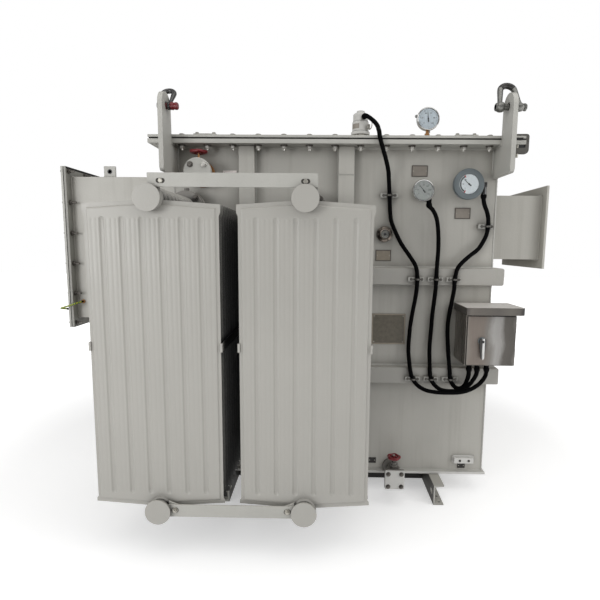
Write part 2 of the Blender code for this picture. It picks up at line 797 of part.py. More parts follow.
def lug_outline():
    """A plate welded to the wall below the rim that runs up in front of the cover to a round eye."""
    outer, inner = FRONT - LUG_REACH, RIM_FRONT - SEAT
    eye, radius = (outer + inner) * HALF, (inner - outer) * HALF
    corner = arc((outer + LUG_CORNER, LUG_FOOT + LUG_CORNER), LUG_CORNER, -RIGHT_ANGLE, -math.pi, LUG_CORNER_STEPS)
    top = arc((eye, LUG_CROWN), radius, math.pi, 0, LUG_STEPS)
    return [(FRONT - SEAT, LUG_FOOT), *corner, *top, (inner, WALL_TOP - SEAT), (FRONT - SEAT, WALL_TOP - SEAT)]


def lug_eye():
    return (FRONT - LUG_REACH + RIM_FRONT - SEAT) * HALF


def lifting_lug(side, name, place):
    made = plate(name, side, lug_outline(), LUG_THICKNESS, (place, 0, 0), (RIGHT_ANGLE, 0, RIGHT_ANGLE))
    half = LUG_THICKNESS * HALF + OVERRUN
    hole = rod(
        f"{name}_eye", side, (place - half, lug_eye(), LUG_EYE_HEIGHT), (place + half, lug_eye(), LUG_EYE_HEIGHT),
        LUG_EYE_RADIUS,
    )
    return dress(cut(made, hole), grey_paint())


def shackle(tank, name, place, own, bow_finish, pin_finish):
    """A bow shackle whose pin lies in the lug's eye, leaning back over the cover."""
    height = LUG_EYE_HEIGHT - LUG_EYE_RADIUS + PIN_RADIUS + SEAT
    axis = empty(f"{name}_axis", tank, (place, lug_eye(), height), (-own["lean"], 0, 0))
    start, end = own["pin"]
    pin = rod(f"{name}_pin", axis, (start, 0, 0), (end, 0, 0), PIN_RADIUS, SMALL_SIDES)
    for near, far in own["heads"]:
        unite(pin, rod(f"{name}_pin_head", axis, (near, 0, 0), (far, 0, 0), PIN_HEAD_RADIUS, SMALL_SIDES))
    dress(pin, pin_finish)
    left, right = own["inside"]
    ear, middle = own["ear"], (left + right) * HALF
    crown = arc((middle, BOW_HEIGHT - own["crown"]), own["crown"], 0, math.pi, BOW_STEPS)
    points = [(right + ear * HALF, 0, 0), *[(x, 0, z) for x, z in crown], (left - ear * HALF, 0, 0)]
    swells = [0, *[CROWN_SWELL * math.sin(math.pi * k / BOW_STEPS) for k in range(BOW_STEPS + 1)], 0]
    bow = mesh_of(tube(f"{name}_bow", axis, points, own["bar"], swells))
    for inner, outer in ((left, left - ear), (right, right + ear)):
        unite(bow, rod(f"{name}_ear", axis, (inner, 0, 0), (outer, 0, 0), own["ear_radius"]))
    cut(bow, rod(f"{name}_bore", axis, (start, 0, 0), (end, 0, 0), PIN_RADIUS + SEAT, SMALL_SIDES))
    dress(bow, bow_finish)
    return axis


def throat(tank, name, side, reach, foot, top):
    """A rectangular duct on an end wall with a bolting flange round its mouth."""
    y = THROAT_DEPTH * HALF
    root = TANK_LENGTH * HALF + SEAT

    def block(label, near, far, grow):
        ends = sorted((near * side, far * side))
        return box(
            f"{name}_{label}", tank, (ends[0], -y - grow, foot - grow), (ends[1], y + grow, top + grow),
        )

    made = block("duct", root, reach, 0)
    made.name = name
    unite(made, block("flange", reach - SINK, reach + THROAT_FLANGE, THROAT_LIP))
    cut(made, block("passage", root - OVERRUN, reach + THROAT_FLANGE + OVERRUN, -THROAT_WALL))
    return dress(made, grey_paint())


def throat_eye_plate(tank):
    """A small plate with a hole, standing on the left throat near its front edge."""
    place, y = -EYE_PLATE_PLACE, -THROAT_DEPTH * HALF + EYE_PLATE_THICKNESS
    half, top = EYE_PLATE_WIDTH * HALF, LEFT_THROAT_TOP + EYE_PLATE_HEIGHT
    made = box(
        "throat_eye_plate", tank, (place - half, y, LEFT_THROAT_TOP + SEAT),
        (place + half, y + EYE_PLATE_THICKNESS, top),
    )
    level = LEFT_THROAT_TOP + EYE_PLATE_HEIGHT * HALF
    hole = rod(
        "throat_eye_plate_hole", tank, (place, y - OVERRUN, level), (place, y + EYE_PLATE_THICKNESS + OVERRUN, level),
        EYE_PLATE_HOLE, SMALL_SIDES,
    )
    return dress(cut(made, hole), grey_paint())


def blank_plate(tank):
    near = LEFT_REACH + THROAT_FLANGE + SEAT
    y = THROAT_DEPTH * HALF + THROAT_LIP
    made = box(
        "left_throat_blank_plate", tank, (-near - BLANK_THICKNESS, -y, LEFT_THROAT_FOOT - THROAT_LIP),
        (-near, y, LEFT_THROAT_TOP + THROAT_LIP),
    )
    return dress(made, grey_paint())


def bushings(tank):
    """Insulators on one plate inside the right throat."""
    wall = TANK_LENGTH * HALF + SEAT
    inside = THROAT_WALL + SEAT
    face = wall + BUSHING_PLATE
    level = (RIGHT_THROAT_FOOT + RIGHT_THROAT_TOP) * HALF
    y = THROAT_DEPTH * HALF - inside
    made = box(
        "low_voltage_bushings", tank, (wall, -y, RIGHT_THROAT_FOOT + inside), (face, y, RIGHT_THROAT_TOP - inside),
    )
    neck, step = BUSHING_RADIUS * HALF, BUSHING_LENGTH / BUSHING_SHEDS
    tip = BUSHING_LENGTH + BUSHING_STUD_LENGTH
    profile = [(0, tip), (BUSHING_STUD, tip), (BUSHING_STUD, BUSHING_LENGTH)]
    for k in range(BUSHING_SHEDS - 1, 0, -1):
        profile += [(neck, step * (k + 1)), (BUSHING_RADIUS, step * k + step * HALF), (neck, step * k)]
    profile += [(BUSHING_RADIUS, step), (BUSHING_RADIUS, -SINK), (0, -SINK)]
    for k in range(BUSHING_COUNT):
        place = (k - (BUSHING_COUNT - 1) * HALF) * BUSHING_PITCH
        unite(made, turned(f"bushing_{k}", tank, (face, place, level), (0, RIGHT_ANGLE, 0), profile, SMALL_SIDES))
    return dress(made, porcelain())


def cover_clamp(side, name):
    """A C clamp that grips the cover and the rim at the right end, with its screw under the rim."""
    outer = TANK_LENGTH * HALF + RIM_LIP + SEAT
    spine, mouth = outer + CLAMP_BAR, outer - CLAMP_REACH
    over = COVER_TOP + SEAT
    outline = [
        (mouth, CLAMP_FOOT), (spine, CLAMP_FOOT), (spine, over + CLAMP_FINGER), (mouth, over + CLAMP_FINGER),
        (mouth, over), (outer, over), (outer, CLAMP_FOOT + CLAMP_JAW), (mouth, CLAMP_FOOT + CLAMP_JAW),
    ]
    y = RIM_FRONT + CLAMP_SETBACK
    made = plate(name, side, outline, CLAMP_WIDTH, (0, y, 0), (RIGHT_ANGLE, 0, 0))
    x = mouth + CLAMP_BAR
    unite(made, rod(
        f"{name}_screw", side, (x, y, CLAMP_FOOT - CLAMP_BAR), (x, y, RIM_UNDERSIDE - SEAT), CLAMP_SCREW, BAR_SIDES,
    ))
    return dress(made, galvanised_steel())


def relief_device(tank):
    """A pressure relief device: flanged base, body, hood and cap."""
    x, y = RELIEF_PLACE
    foot = COVER_TOP + SEAT
    levels = [RELIEF_BASE_HEIGHT, RELIEF_BODY_HEIGHT, RELIEF_HOOD_HEIGHT, RELIEF_CAP_HEIGHT]
    radii = [RELIEF_BASE_RADIUS, RELIEF_BODY_RADIUS, RELIEF_HOOD_RADIUS, RELIEF_CAP_RADIUS]
    profile, height = [(0, 0)], 0
    for rise, radius in zip(levels, radii):
        profile += [(radius, height), (radius, height + rise)]
        height += rise
    profile = list(reversed([*profile, (0, height)]))
    made = turned("pressure_relief_device", tank, (x, y, foot), (0, 0, 0), profile)
    start = Vector(RELIEF_ROUTE[0])
    centre = Vector((x, y, start.z))
    end = start + (centre - start).normalized() * SEAT
    unite(made, rod("relief_gland", tank, centre, end, GLAND_RADIUS, SMALL_SIDES))
    return dress(made, galvanised_steel())


def dial_profile(radius, depth, neck=0):
    """A round gauge case with a bezel, its face at the top, and a neck of the given length below it."""
    lip = radius * BEZEL_SHARE
    case = [
        (0, depth - lip * HALF), (radius - lip, depth - lip * HALF), (radius - lip, depth),
        (radius - lip * HALF, depth),
        (radius, depth - lip * HALF), (radius, depth - 2 * lip), (radius - lip * HALF, depth - 2 * lip),
        (radius - lip * HALF, 0),
    ]
    return [*case, (NECK_RADIUS, 0), (NECK_RADIUS, -neck), (0, -neck)] if neck else [*case, (0, 0)]


def pressure_gauge(tank):
    x, y = PRESSURE_PLACE
    made = turned(
        "pressure_gauge", tank, (x, y + PRESSURE_DEPTH * HALF, PRESSURE_HEIGHT), (RIGHT_ANGLE, 0, 0),
        dial_profile(PRESSURE_RADIUS, PRESSURE_DEPTH),
    )
    foot = COVER_TOP + SEAT
    unite(
        made,
        rod(
            "pressure_stem", tank, (x, y, foot), (x, y, PRESSURE_HEIGHT - PRESSURE_RADIUS + SINK), STEM_RADIUS,
            SMALL_SIDES,
        ),
        rod("pressure_nut", tank, (x, y, foot), (x, y, foot + STEM_NUT_HEIGHT), STEM_NUT_RADIUS, NUT_SIDES),
    )
    return dress(made, chrome())


def wall_gauge(tank, name, place, radius, front, depth, gland_start, gland_end):
    """A round gauge standing off the front wall on a neck, with a gland for its conduit."""
    x, z = place
    face = FRONT - front
    profile = dial_profile(radius, depth, front - depth - SEAT)
    made = turned(name, tank, (x, face + depth, z), (RIGHT_ANGLE, 0, 0), profile)
    return unite(made, rod(f"{name}_gland", tank, gland_start, gland_end, GLAND_RADIUS, SMALL_SIDES))


def thermometer(tank):
    end = Vector(THERMO_ROUTE[0])
    start = (end.x, end.y, THERMO_PLACE[1] - THERMO_RADIUS * GLAND_ROOT_SHARE)
    made = wall_gauge(
        tank, "thermometer", THERMO_PLACE, THERMO_RADIUS, THERMO_FRONT, THERMO_DEPTH,
        start, (end.x, end.y, end.z + SEAT),
    )
    return dress(made, chrome())


def level_gauge(tank):
    end = Vector(LEVEL_ROUTE[0])
    elbow = (end.x, end.y, LEVEL_PLACE[1])
    made = wall_gauge(
        tank, "oil_level_gauge", LEVEL_PLACE, LEVEL_RADIUS, LEVEL_FRONT, LEVEL_DEPTH,
        elbow, (end.x, end.y, end.z + SEAT),
    )
    side = GLAND_ELBOW * HALF
    unite(made, box(
        "level_elbow", tank, (LEVEL_PLACE[0] + 2 * NECK_RADIUS, end.y - side, LEVEL_PLACE[1] - side),
        (end.x + side, end.y + side, LEVEL_PLACE[1] + side),
    ))
    return dress(made, gauge_grey())


def sight_glass(tank):
    x, z = SIGHT_PLACE
    profile = [
        (0, SIGHT_DEPTH + SIGHT_RING_DEPTH * HALF), (SIGHT_RING_RADIUS * HALF, SIGHT_DEPTH + SIGHT_RING_DEPTH * HALF),
        (SIGHT_RING_RADIUS * HALF, SIGHT_DEPTH + SIGHT_RING_DEPTH),
        (SIGHT_RING_RADIUS, SIGHT_DEPTH + SIGHT_RING_DEPTH),
        (SIGHT_RING_RADIUS, SIGHT_DEPTH), (SIGHT_RADIUS, SIGHT_DEPTH), (SIGHT_RADIUS, 0), (0, 0),
    ]
    made = turned("oil_sight_glass", tank, (x, FRONT - SEAT, z), (RIGHT_ANGLE, 0, 0), profile)
    return dress(made, chrome())


def terminal_box(tank):
    """An open-fronted steel box with glands in its floor."""
    rear, front = FRONT - SEAT, FRONT - SEAT - BOX_DEPTH
    made = box("terminal_box", tank, (BOX_LEFT, front, BOX_FOOT), (BOX_RIGHT, rear, BOX_TOP))
    cut(made, box(
        "terminal_box_inside", tank, (BOX_LEFT + BOX_WALL, front - OVERRUN, BOX_FOOT + BOX_WALL),
        (BOX_RIGHT - BOX_WALL, rear - BOX_WALL, BOX_TOP - BOX_WALL),
    ))
    for place in ENTRY_PLACES:
        unite(made, rod(
            "terminal_box_gland", tank, (place, -ENTRY_SETBACK, BOX_FOOT - GLAND_LENGTH),
            (place, -ENTRY_SETBACK, BOX_FOOT + BOX_WALL * HALF), GLAND_RADIUS, SMALL_SIDES,
        ))
    dress(made, stainless_steel())
    lid = box(
        "terminal_box_lid", tank, (BOX_LEFT - LID_LEFT, front - LID_FRONT, BOX_TOP + SEAT),
        (BOX_RIGHT + LID_RIGHT, rear, BOX_TOP + LID_HEIGHT),
    )
    return dress(lid, stainless_steel())


def door_hinge_place():
    front = FRONT - SEAT - BOX_DEPTH - SEAT
    return (BOX_RIGHT - HINGE_INSET, front - HINGE_RADIUS - HINGE_INSET, 0)


def box_door(tank):
    axis = empty("terminal_box_door_axis", tank, door_hinge_place())
    hinge = Vector(door_hinge_place())
    front = FRONT - SEAT - BOX_DEPTH - SEAT
    low = Vector((BOX_LEFT + DOOR_SIDE, front - DOOR_THICKNESS, BOX_FOOT + DOOR_TOP_GAP)) - hinge
    high = Vector((BOX_RIGHT - DOOR_SIDE, front, BOX_TOP - DOOR_TOP_GAP)) - hinge
    made = box("terminal_box_door", axis, low, high)
    inset = (high.z - low.z) * HINGE_INSET_SHARE
    for foot in (low.z + inset, high.z - inset - HINGE_LENGTH):
        unite(made, rod("door_knuckle", axis, (0, 0, foot), (0, 0, foot + HINGE_LENGTH), HINGE_RADIUS, SMALL_SIDES))
    return dress(made, stainless_steel())


def door_handle(tank):
    """A lever that hangs from its spindle on the door."""
    face = FRONT - 2 * SEAT - BOX_DEPTH - DOOR_THICKNESS - SEAT
    x, z = HANDLE_PLACE
    axis = empty("door_handle_axis", tank, (x, face, z))
    made = rod("door_handle", axis, (0, 0, 0), (0, -HANDLE_STANDOFF, 0), HANDLE_ROSETTE)
    unite(made, box(
        "door_handle_lever", axis, (-HANDLE_WIDTH * HALF, -HANDLE_STANDOFF, -HANDLE_LENGTH),
        (HANDLE_WIDTH * HALF, -HANDLE_STANDOFF + HANDLE_THICKNESS, 0),
    ))
    return dress(made, gauge_grey())


def handwheel(tank, name, place, radius):
    """A rim, spokes and a hub that turn on the stem."""
    axis = empty(f"{name}_axis", tank, place)
    level = WHEEL_HUB_HEIGHT * HALF
    made = hoop(name, axis, (0, 0, level), radius - WHEEL_RIM, WHEEL_RIM)
    unite(made, rod(f"{name}_hub", axis, (0, 0, 0), (0, 0, WHEEL_HUB_HEIGHT), WHEEL_HUB_RADIUS, SMALL_SIDES))
    for k in range(WHEEL_SPOKES):
        turn = 2 * math.pi * k / WHEEL_SPOKES
        way = Vector((math.cos(turn), math.sin(turn), 0))
        start, end = way * WHEEL_HUB_RADIUS * HALF, way * (radius - WHEEL_RIM)
        unite(made, rod(
            f"{name}_spoke", axis, (start.x, start.y, level), (end.x, end.y, level), WHEEL_SPOKE, SPOKE_SIDES,
        ))
    return dress(made, red_paint())


def upper_valve(tank):
    """A small gate valve below the rim, with a round flange at the wall and a round blank at its mouth."""
    x, z = UPPER_VALVE_PLACE
    face, root = FRONT - UPPER_FACE, FRONT - SEAT
    near = face + VALVE_PLATE
    stem_y = near + UPPER_BODY_LENGTH * HALF

    def across(label, start, end, radius, sides=ROUND_SIDES):
        return rod(label, tank, (x, start, z), (x, end, z), radius, sides)

    def upright(label, top, radius):
        return rod(label, tank, (x, stem_y, z), (x, stem_y, top), radius, SMALL_SIDES)

    made = across("upper_valve", root, face + VALVE_PLATE * HALF, UPPER_PIPE_RADIUS)
    unite(
        made,
        across("upper_valve_flange", root, root - VALVE_PLATE, UPPER_FLANGE_RADIUS),
        across("upper_valve_body", near, near + UPPER_BODY_LENGTH, UPPER_BODY_RADIUS, SPOKE_SIDES),
        across("upper_valve_blank", face, near, UPPER_BLANK_RADIUS),
        upright("upper_valve_bonnet", z + 2 * UPPER_BODY_RADIUS, UPPER_BONNET_RADIUS),
        upright("upper_valve_stem", UPPER_WHEEL_HEIGHT - SEAT, VALVE_STEM_RADIUS),
    )
    dress(made, brass())
    return handwheel(tank, "upper_valve_handwheel", (x, stem_y, UPPER_WHEEL_HEIGHT), UPPER_WHEEL_RADIUS)


def drain_valve(tank):
    """A globe valve at the foot of the wall, closed by a square blank flange."""
    x, z = DRAIN_PLACE
    face, half = FRONT - DRAIN_FACE, DRAIN_BLANK * HALF
    stem_y, reach = FRONT - DRAIN_STEM_PLACE, DRAIN_BODY_LENGTH * HALF
    stem_foot = (x, stem_y, z)
    made = rod("drain_valve", tank, (x, FRONT - SEAT, z), (x, face + VALVE_PLATE, z), DRAIN_PIPE_RADIUS)
    unite(
        made,
        box("drain_blank", tank, (x - half, face, z - half), (x + half, face + VALVE_PLATE, z + half)),
        rod("drain_body", tank, (x, stem_y - reach, z), (x, stem_y + reach, z), DRAIN_BODY_RADIUS),
        rod(
            "drain_bonnet", tank, stem_foot, (x, stem_y, z + DRAIN_BODY_RADIUS + DRAIN_BONNET_RADIUS),
            DRAIN_BONNET_RADIUS, NUT_SIDES,
        ),
        rod("drain_stem", tank, stem_foot, (x, stem_y, DRAIN_WHEEL_HEIGHT - SEAT), VALVE_STEM_RADIUS, SMALL_SIDES),
    )
    dress(made, grey_paint())
    return handwheel(tank, "drain_valve_handwheel", (x, stem_y, DRAIN_WHEEL_HEIGHT), DRAIN_WHEEL_RADIUS)


def conduit(tank, name, route, entry):
    """A black flexible conduit that ends in one of the box's glands."""
    top = BOX_FOOT - GLAND_LENGTH - SEAT
    points = [*route, (entry, -ENTRY_SETBACK, top - GLAND_LENGTH), (entry, -ENTRY_SETBACK, top)]
    return dress(tube(name, tank, smoothed(points, CONDUIT_STEP), CONDUIT_RADIUS), black_rubber())


def bonding_jumper(tank):
    return dress(tube("bonding_jumper", tank, smoothed(JUMPER_ROUTE, JUMPER_STEP), JUMPER_RADIUS), jumper_green())


def build():
    clear_scene()
    tank = empty("tank_centre", None, (TANK_X, 0, 0))
    front = empty("front_side", tank)
    rear = empty("rear_side", tank, rotation=(0, 0, math.pi))
    for name, side in (("left", -1), ("right", 1)):
        skid(tank, f"skid_{name}", side)
        end_wall(tank, f"{name}_wall", side)
        handhole_cover(tank, f"handhole_cover_{name}", side)
    cross_member(tank, "cross_member_front", -1)
    cross_member(tank, "cross_member_rear", 1)
    base_plate(tank)
    belt(tank, "upper_belt", UPPER_BELT_FOOT)
    belt(tank, "lower_belt", LOWER_BELT_FOOT)
    rim_and_cover(tank)
    for name, side in (("front", front), ("rear", rear)):
        long_wall(side, f"{name}_wall")
        tie_bars(side, name)
        cover_clamp(side, f"{name}_cover_clamp")
        for edge, place, word in ((-1, BANK_PLACES[0], "left"), (1, BANK_PLACES[1], "right")):
            radiator(side, f"{name}_radiator_{word}", place)
            lifting_lug(side, f"{name}_lifting_lug_{word}", edge * LUG_PLACE)
    shackle(tank, "shackle_left", -LUG_PLACE, LEFT_SHACKLE, dark_paint(), red_paint())
    shackle(tank, "shackle_right", LUG_PLACE, RIGHT_SHACKLE, galvanised_steel(), galvanised_steel())
    throat(tank, "left_throat", -1, LEFT_REACH, LEFT_THROAT_FOOT, LEFT_THROAT_TOP)
    throat(tank, "right_throat", 1, RIGHT_REACH, RIGHT_THROAT_FOOT, RIGHT_THROAT_TOP)
    throat_eye_plate(tank)
    blank_plate(tank)
    bushings(tank)
    relief_device(tank)
    pressure_gauge(tank)
    thermometer(tank)
    level_gauge(tank)
    sight_glass(tank)
    terminal_box(tank)
    box_door(tank)
    door_handle(tank)
    upper_valve(tank)
    drain_valve(tank)
    conduit(tank, "conduit_relief", RELIEF_ROUTE, ENTRY_PLACES[2])
    conduit(tank, "conduit_thermometer", THERMO_ROUTE, ENTRY_PLACES[1])
    conduit(tank, "conduit_level", LEVEL_ROUTE, ENTRY_PLACES[0])
    bonding_jumper(tank)


build()
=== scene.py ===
# Looks of a power transformer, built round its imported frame.
# Lengths are in metres. Most shapes are drawn with the tank's centre at x = 0 and its front facing -Y.
import math

import bmesh
import bpy
from mathutils import Matrix, Vector


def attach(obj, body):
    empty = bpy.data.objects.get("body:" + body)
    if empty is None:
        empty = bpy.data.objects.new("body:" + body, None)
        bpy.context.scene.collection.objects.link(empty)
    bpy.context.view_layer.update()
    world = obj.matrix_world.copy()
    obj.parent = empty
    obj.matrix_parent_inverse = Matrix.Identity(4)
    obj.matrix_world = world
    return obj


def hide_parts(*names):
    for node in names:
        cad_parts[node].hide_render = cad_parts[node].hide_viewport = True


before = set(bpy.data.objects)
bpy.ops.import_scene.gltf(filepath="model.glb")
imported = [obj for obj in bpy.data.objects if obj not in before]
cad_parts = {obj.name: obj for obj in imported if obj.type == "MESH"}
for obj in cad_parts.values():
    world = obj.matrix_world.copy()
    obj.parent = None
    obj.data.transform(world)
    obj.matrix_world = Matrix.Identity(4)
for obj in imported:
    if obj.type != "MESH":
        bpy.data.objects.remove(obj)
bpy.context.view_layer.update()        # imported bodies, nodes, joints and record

tankX = 0.17775
frontSide = Matrix.Translation((tankX, 0, 0))
rearSide = frontSide @ Matrix.Rotation(math.pi, 4, "Z")
sides = (("front", frontSide), ("rear", rearSide))

# Ways along the axes, seen from the front
toRight, toLeft = (1, 0, 0), (-1, 0, 0)
toRear, toFront = (0, 1, 0), (0, -1, 0)
toTop, toFoot = (0, 0, 1), (0, 0, -1)

# Outer planes of the tank that many pieces sit on
wallFront = -0.450
ribFront = -0.492
rimFoot, rimTop = 1.699, 1.719
coverFoot, coverTop = 1.725, 1.737
rimFront = -0.537
halfLength = 0.764
wallFoot, wallTop = 0.1126, 1.6987
seatGap = 0.0003      # between a piece and the one it sits on

print("frame loaded,", len(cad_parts), "nodes")


# Camera
view = {
    "place": (0.12875, -2.645, 1.242), "yaw": -0.0162, "pitch": -0.1228, "roll": 0.0085,
    "lens": 27.156, "shift": (-0.0262, 0.0028),
}


def addCamera():
    yaw, pitch, roll = view["yaw"], view["pitch"], view["roll"]
    ahead = Vector((math.sin(yaw) * math.cos(pitch), math.cos(yaw) * math.cos(pitch), math.sin(pitch)))
    level = ahead.cross(Vector(toTop)).normalized()
    upright = level.cross(ahead)
    across = level * math.cos(roll) + upright * math.sin(roll)
    upward = upright * math.cos(roll) - level * math.sin(roll)
    lens = bpy.data.cameras.new("camera")
    lens.lens = view["lens"]
    lens.shift_x, lens.shift_y = view["shift"]
    camera = bpy.data.objects.new("camera", lens)
    turn = Matrix((across, upward, -ahead)).transposed()
    camera.matrix_world = Matrix.Translation(view["place"]) @ turn.to_4x4()
    bpy.context.scene.collection.objects.link(camera)
    bpy.context.scene.camera = camera


addCamera()
print("camera placed")


# Finishes
noiseRoughness = 0.55


def fromScreen(red, green, blue):
    # a colour as it reads on a screen, turned into linear light
    return tuple((c / 255 / 12.92) if c < 11 else ((c / 255 + 0.055) / 1.055) ** 2.4
                 for c in (red, green, blue))


def newMaterial(name):
    made = bpy.data.materials.new(name)
    made.use_nodes = True
    nodes, links = made.node_tree.nodes, made.node_tree.links
    return made, nodes, links, nodes["Principled BSDF"]


def blendNode(nodes, links, share, low, high):
    mixed = nodes.new("ShaderNodeMix")
    mixed.data_type = "RGBA"
    for value, place in ((share, 0), (low, 6), (high, 7)):
        if isinstance(value, bpy.types.NodeSocket):
            links.new(value, mixed.inputs[place])
        elif place:
            mixed.inputs[place].default_value = (*value, 1)
        else:
            mixed.inputs[place].default_value = value
    return mixed.outputs[2]


def noiseNode(nodes, links, where, scale, detail=4, stretch=None):
    if stretch:
        scaled = nodes.new("ShaderNodeMapping")
        scaled.inputs["Scale"].default_value = stretch
        links.new(where, scaled.inputs["Vector"])
        where = scaled.outputs["Vector"]
    made = nodes.new("ShaderNodeTexNoise")
    made.inputs["Scale"].default_value = scale
    made.inputs["Detail"].default_value = detail
    made.inputs["Roughness"].default_value = noiseRoughness
    links.new(where, made.inputs["Vector"])
    return made.outputs["Fac"]


def mathNode(nodes, links, operation, first, second):
    made = nodes.new("ShaderNodeMath")
    made.operation = operation
    links.new(first, made.inputs[0])
    links.new(second, made.inputs[1])
    return made.outputs[0]


def rangeNode(nodes, links, value, low, high, least, most):
    made = nodes.new("ShaderNodeMapRange")
    for place, number in zip((1, 2, 3, 4), (low, high, least, most)):
        made.inputs[place].default_value = number
    links.new(value, made.inputs[0])
    return made.outputs[0]


# colours that lie over a finish where it has such a layer, and how small galvanised flakes are
layers = {"streak": (120, 114, 103), "speckle": (96, 90, 80), "dust": (176, 170, 158), "flakes": 170}


def makeFinish(name, colour, roughness, metallic=0.0, spread=0.04, patch=3.0, speckle=0.0,
               speckleSize=0.004, streak=0.0, bump=0.0, bumpSize=0.002, stretch=None, coat=0.0, grimeAndShade=0.0,
               grimeAndShadeColour=(62, 56, 47), roughSpread=0.06, specular=0.5, spangle=0.0, dust=0.0,
               grimeAndShadeReach=0.03, hollow=0.0, hollowReach=0.3, hollowColour=(14, 14, 13),
               hollowRange=(0.05, 0.35)):
    made, nodes, links, shader = newMaterial(name)
    shader.inputs["Metallic"].default_value = metallic
    shader.inputs["Specular IOR Level"].default_value = specular
    shader.inputs["Coat Weight"].default_value = coat
    shader.inputs["Coat Roughness"].default_value = 0.25
    place = nodes.new("ShaderNodeTexCoord").outputs["Object"]
    base = fromScreen(*colour)
    patches = noiseNode(nodes, links, place, patch, 6)
    share = rangeNode(nodes, links, patches, 0.32, 0.68, 0, 1)
    tone = blendNode(nodes, links, share, [c * (1 - spread) for c in base],
                     [c * (1 + spread) for c in base])

    def layer(under, value, low, high, least, most, over):
        return blendNode(nodes, links, rangeNode(nodes, links, value, low, high, least, most), under, over)

    def openness(samples, reach):
        found = nodes.new("ShaderNodeAmbientOcclusion")
        found.samples = samples
        found.inputs["Distance"].default_value = reach
        return found.outputs["AO"]

    if streak:
        runs = noiseNode(nodes, links, place, 9, 5, (3.2, 3.2, 0.16))
        tone = layer(tone, runs, 0.5, 0.8, 0, streak, fromScreen(*layers["streak"]))
    if speckle:
        specks = noiseNode(nodes, links, place, 1 / speckleSize, 2)
        tone = layer(tone, specks, 0.62, 0.76, 0, speckle, fromScreen(*layers["speckle"]))
    if spangle:
        flakes = nodes.new("ShaderNodeTexVoronoi")
        flakes.inputs["Scale"].default_value = layers["flakes"]
        links.new(place, flakes.inputs["Vector"])
        tone = layer(tone, flakes.outputs["Distance"], 0.0, 0.8, 0, spangle, [c * 0.55 for c in base])
    if dust:
        lying = nodes.new("ShaderNodeNewGeometry").outputs["Normal"]
        upward = nodes.new("ShaderNodeSeparateXYZ")
        links.new(lying, upward.inputs[0])
        tone = layer(tone, upward.outputs["Z"], 0.55, 1.0, 0, dust, fromScreen(*layers["dust"]))
    # grime and painted shade: darker where other surfaces hem a face in, in corners, creases and the band
    # under the rim
    if grimeAndShade:
        tone = layer(tone, openness(6, grimeAndShadeReach), 0.25, 0.95, grimeAndShade, 0, fromScreen(*grimeAndShadeColour))
    if hollow:
        # painted shade: faces deep in the gaps between the pieces are darkened almost to black
        tone = layer(tone, openness(8, hollowReach), *hollowRange, hollow, 0, fromScreen(*hollowColour))
    links.new(tone, shader.inputs["Base Color"])
    gloss = noiseNode(nodes, links, place, patch * 5, 5, stretch)
    links.new(
        rangeNode(nodes, links, gloss, 0.25, 0.75, max(0.02, roughness - roughSpread),
                  min(1, roughness + roughSpread)),
        shader.inputs["Roughness"],
    )
    if bump:
        relief = nodes.new("ShaderNodeBump")
        relief.inputs["Strength"].default_value = 1
        relief.inputs["Distance"].default_value = bump
        links.new(noiseNode(nodes, links, place, 1 / bumpSize, 3, stretch), relief.inputs["Height"])
        links.new(relief.outputs["Normal"], shader.inputs["Normal"])
    return made


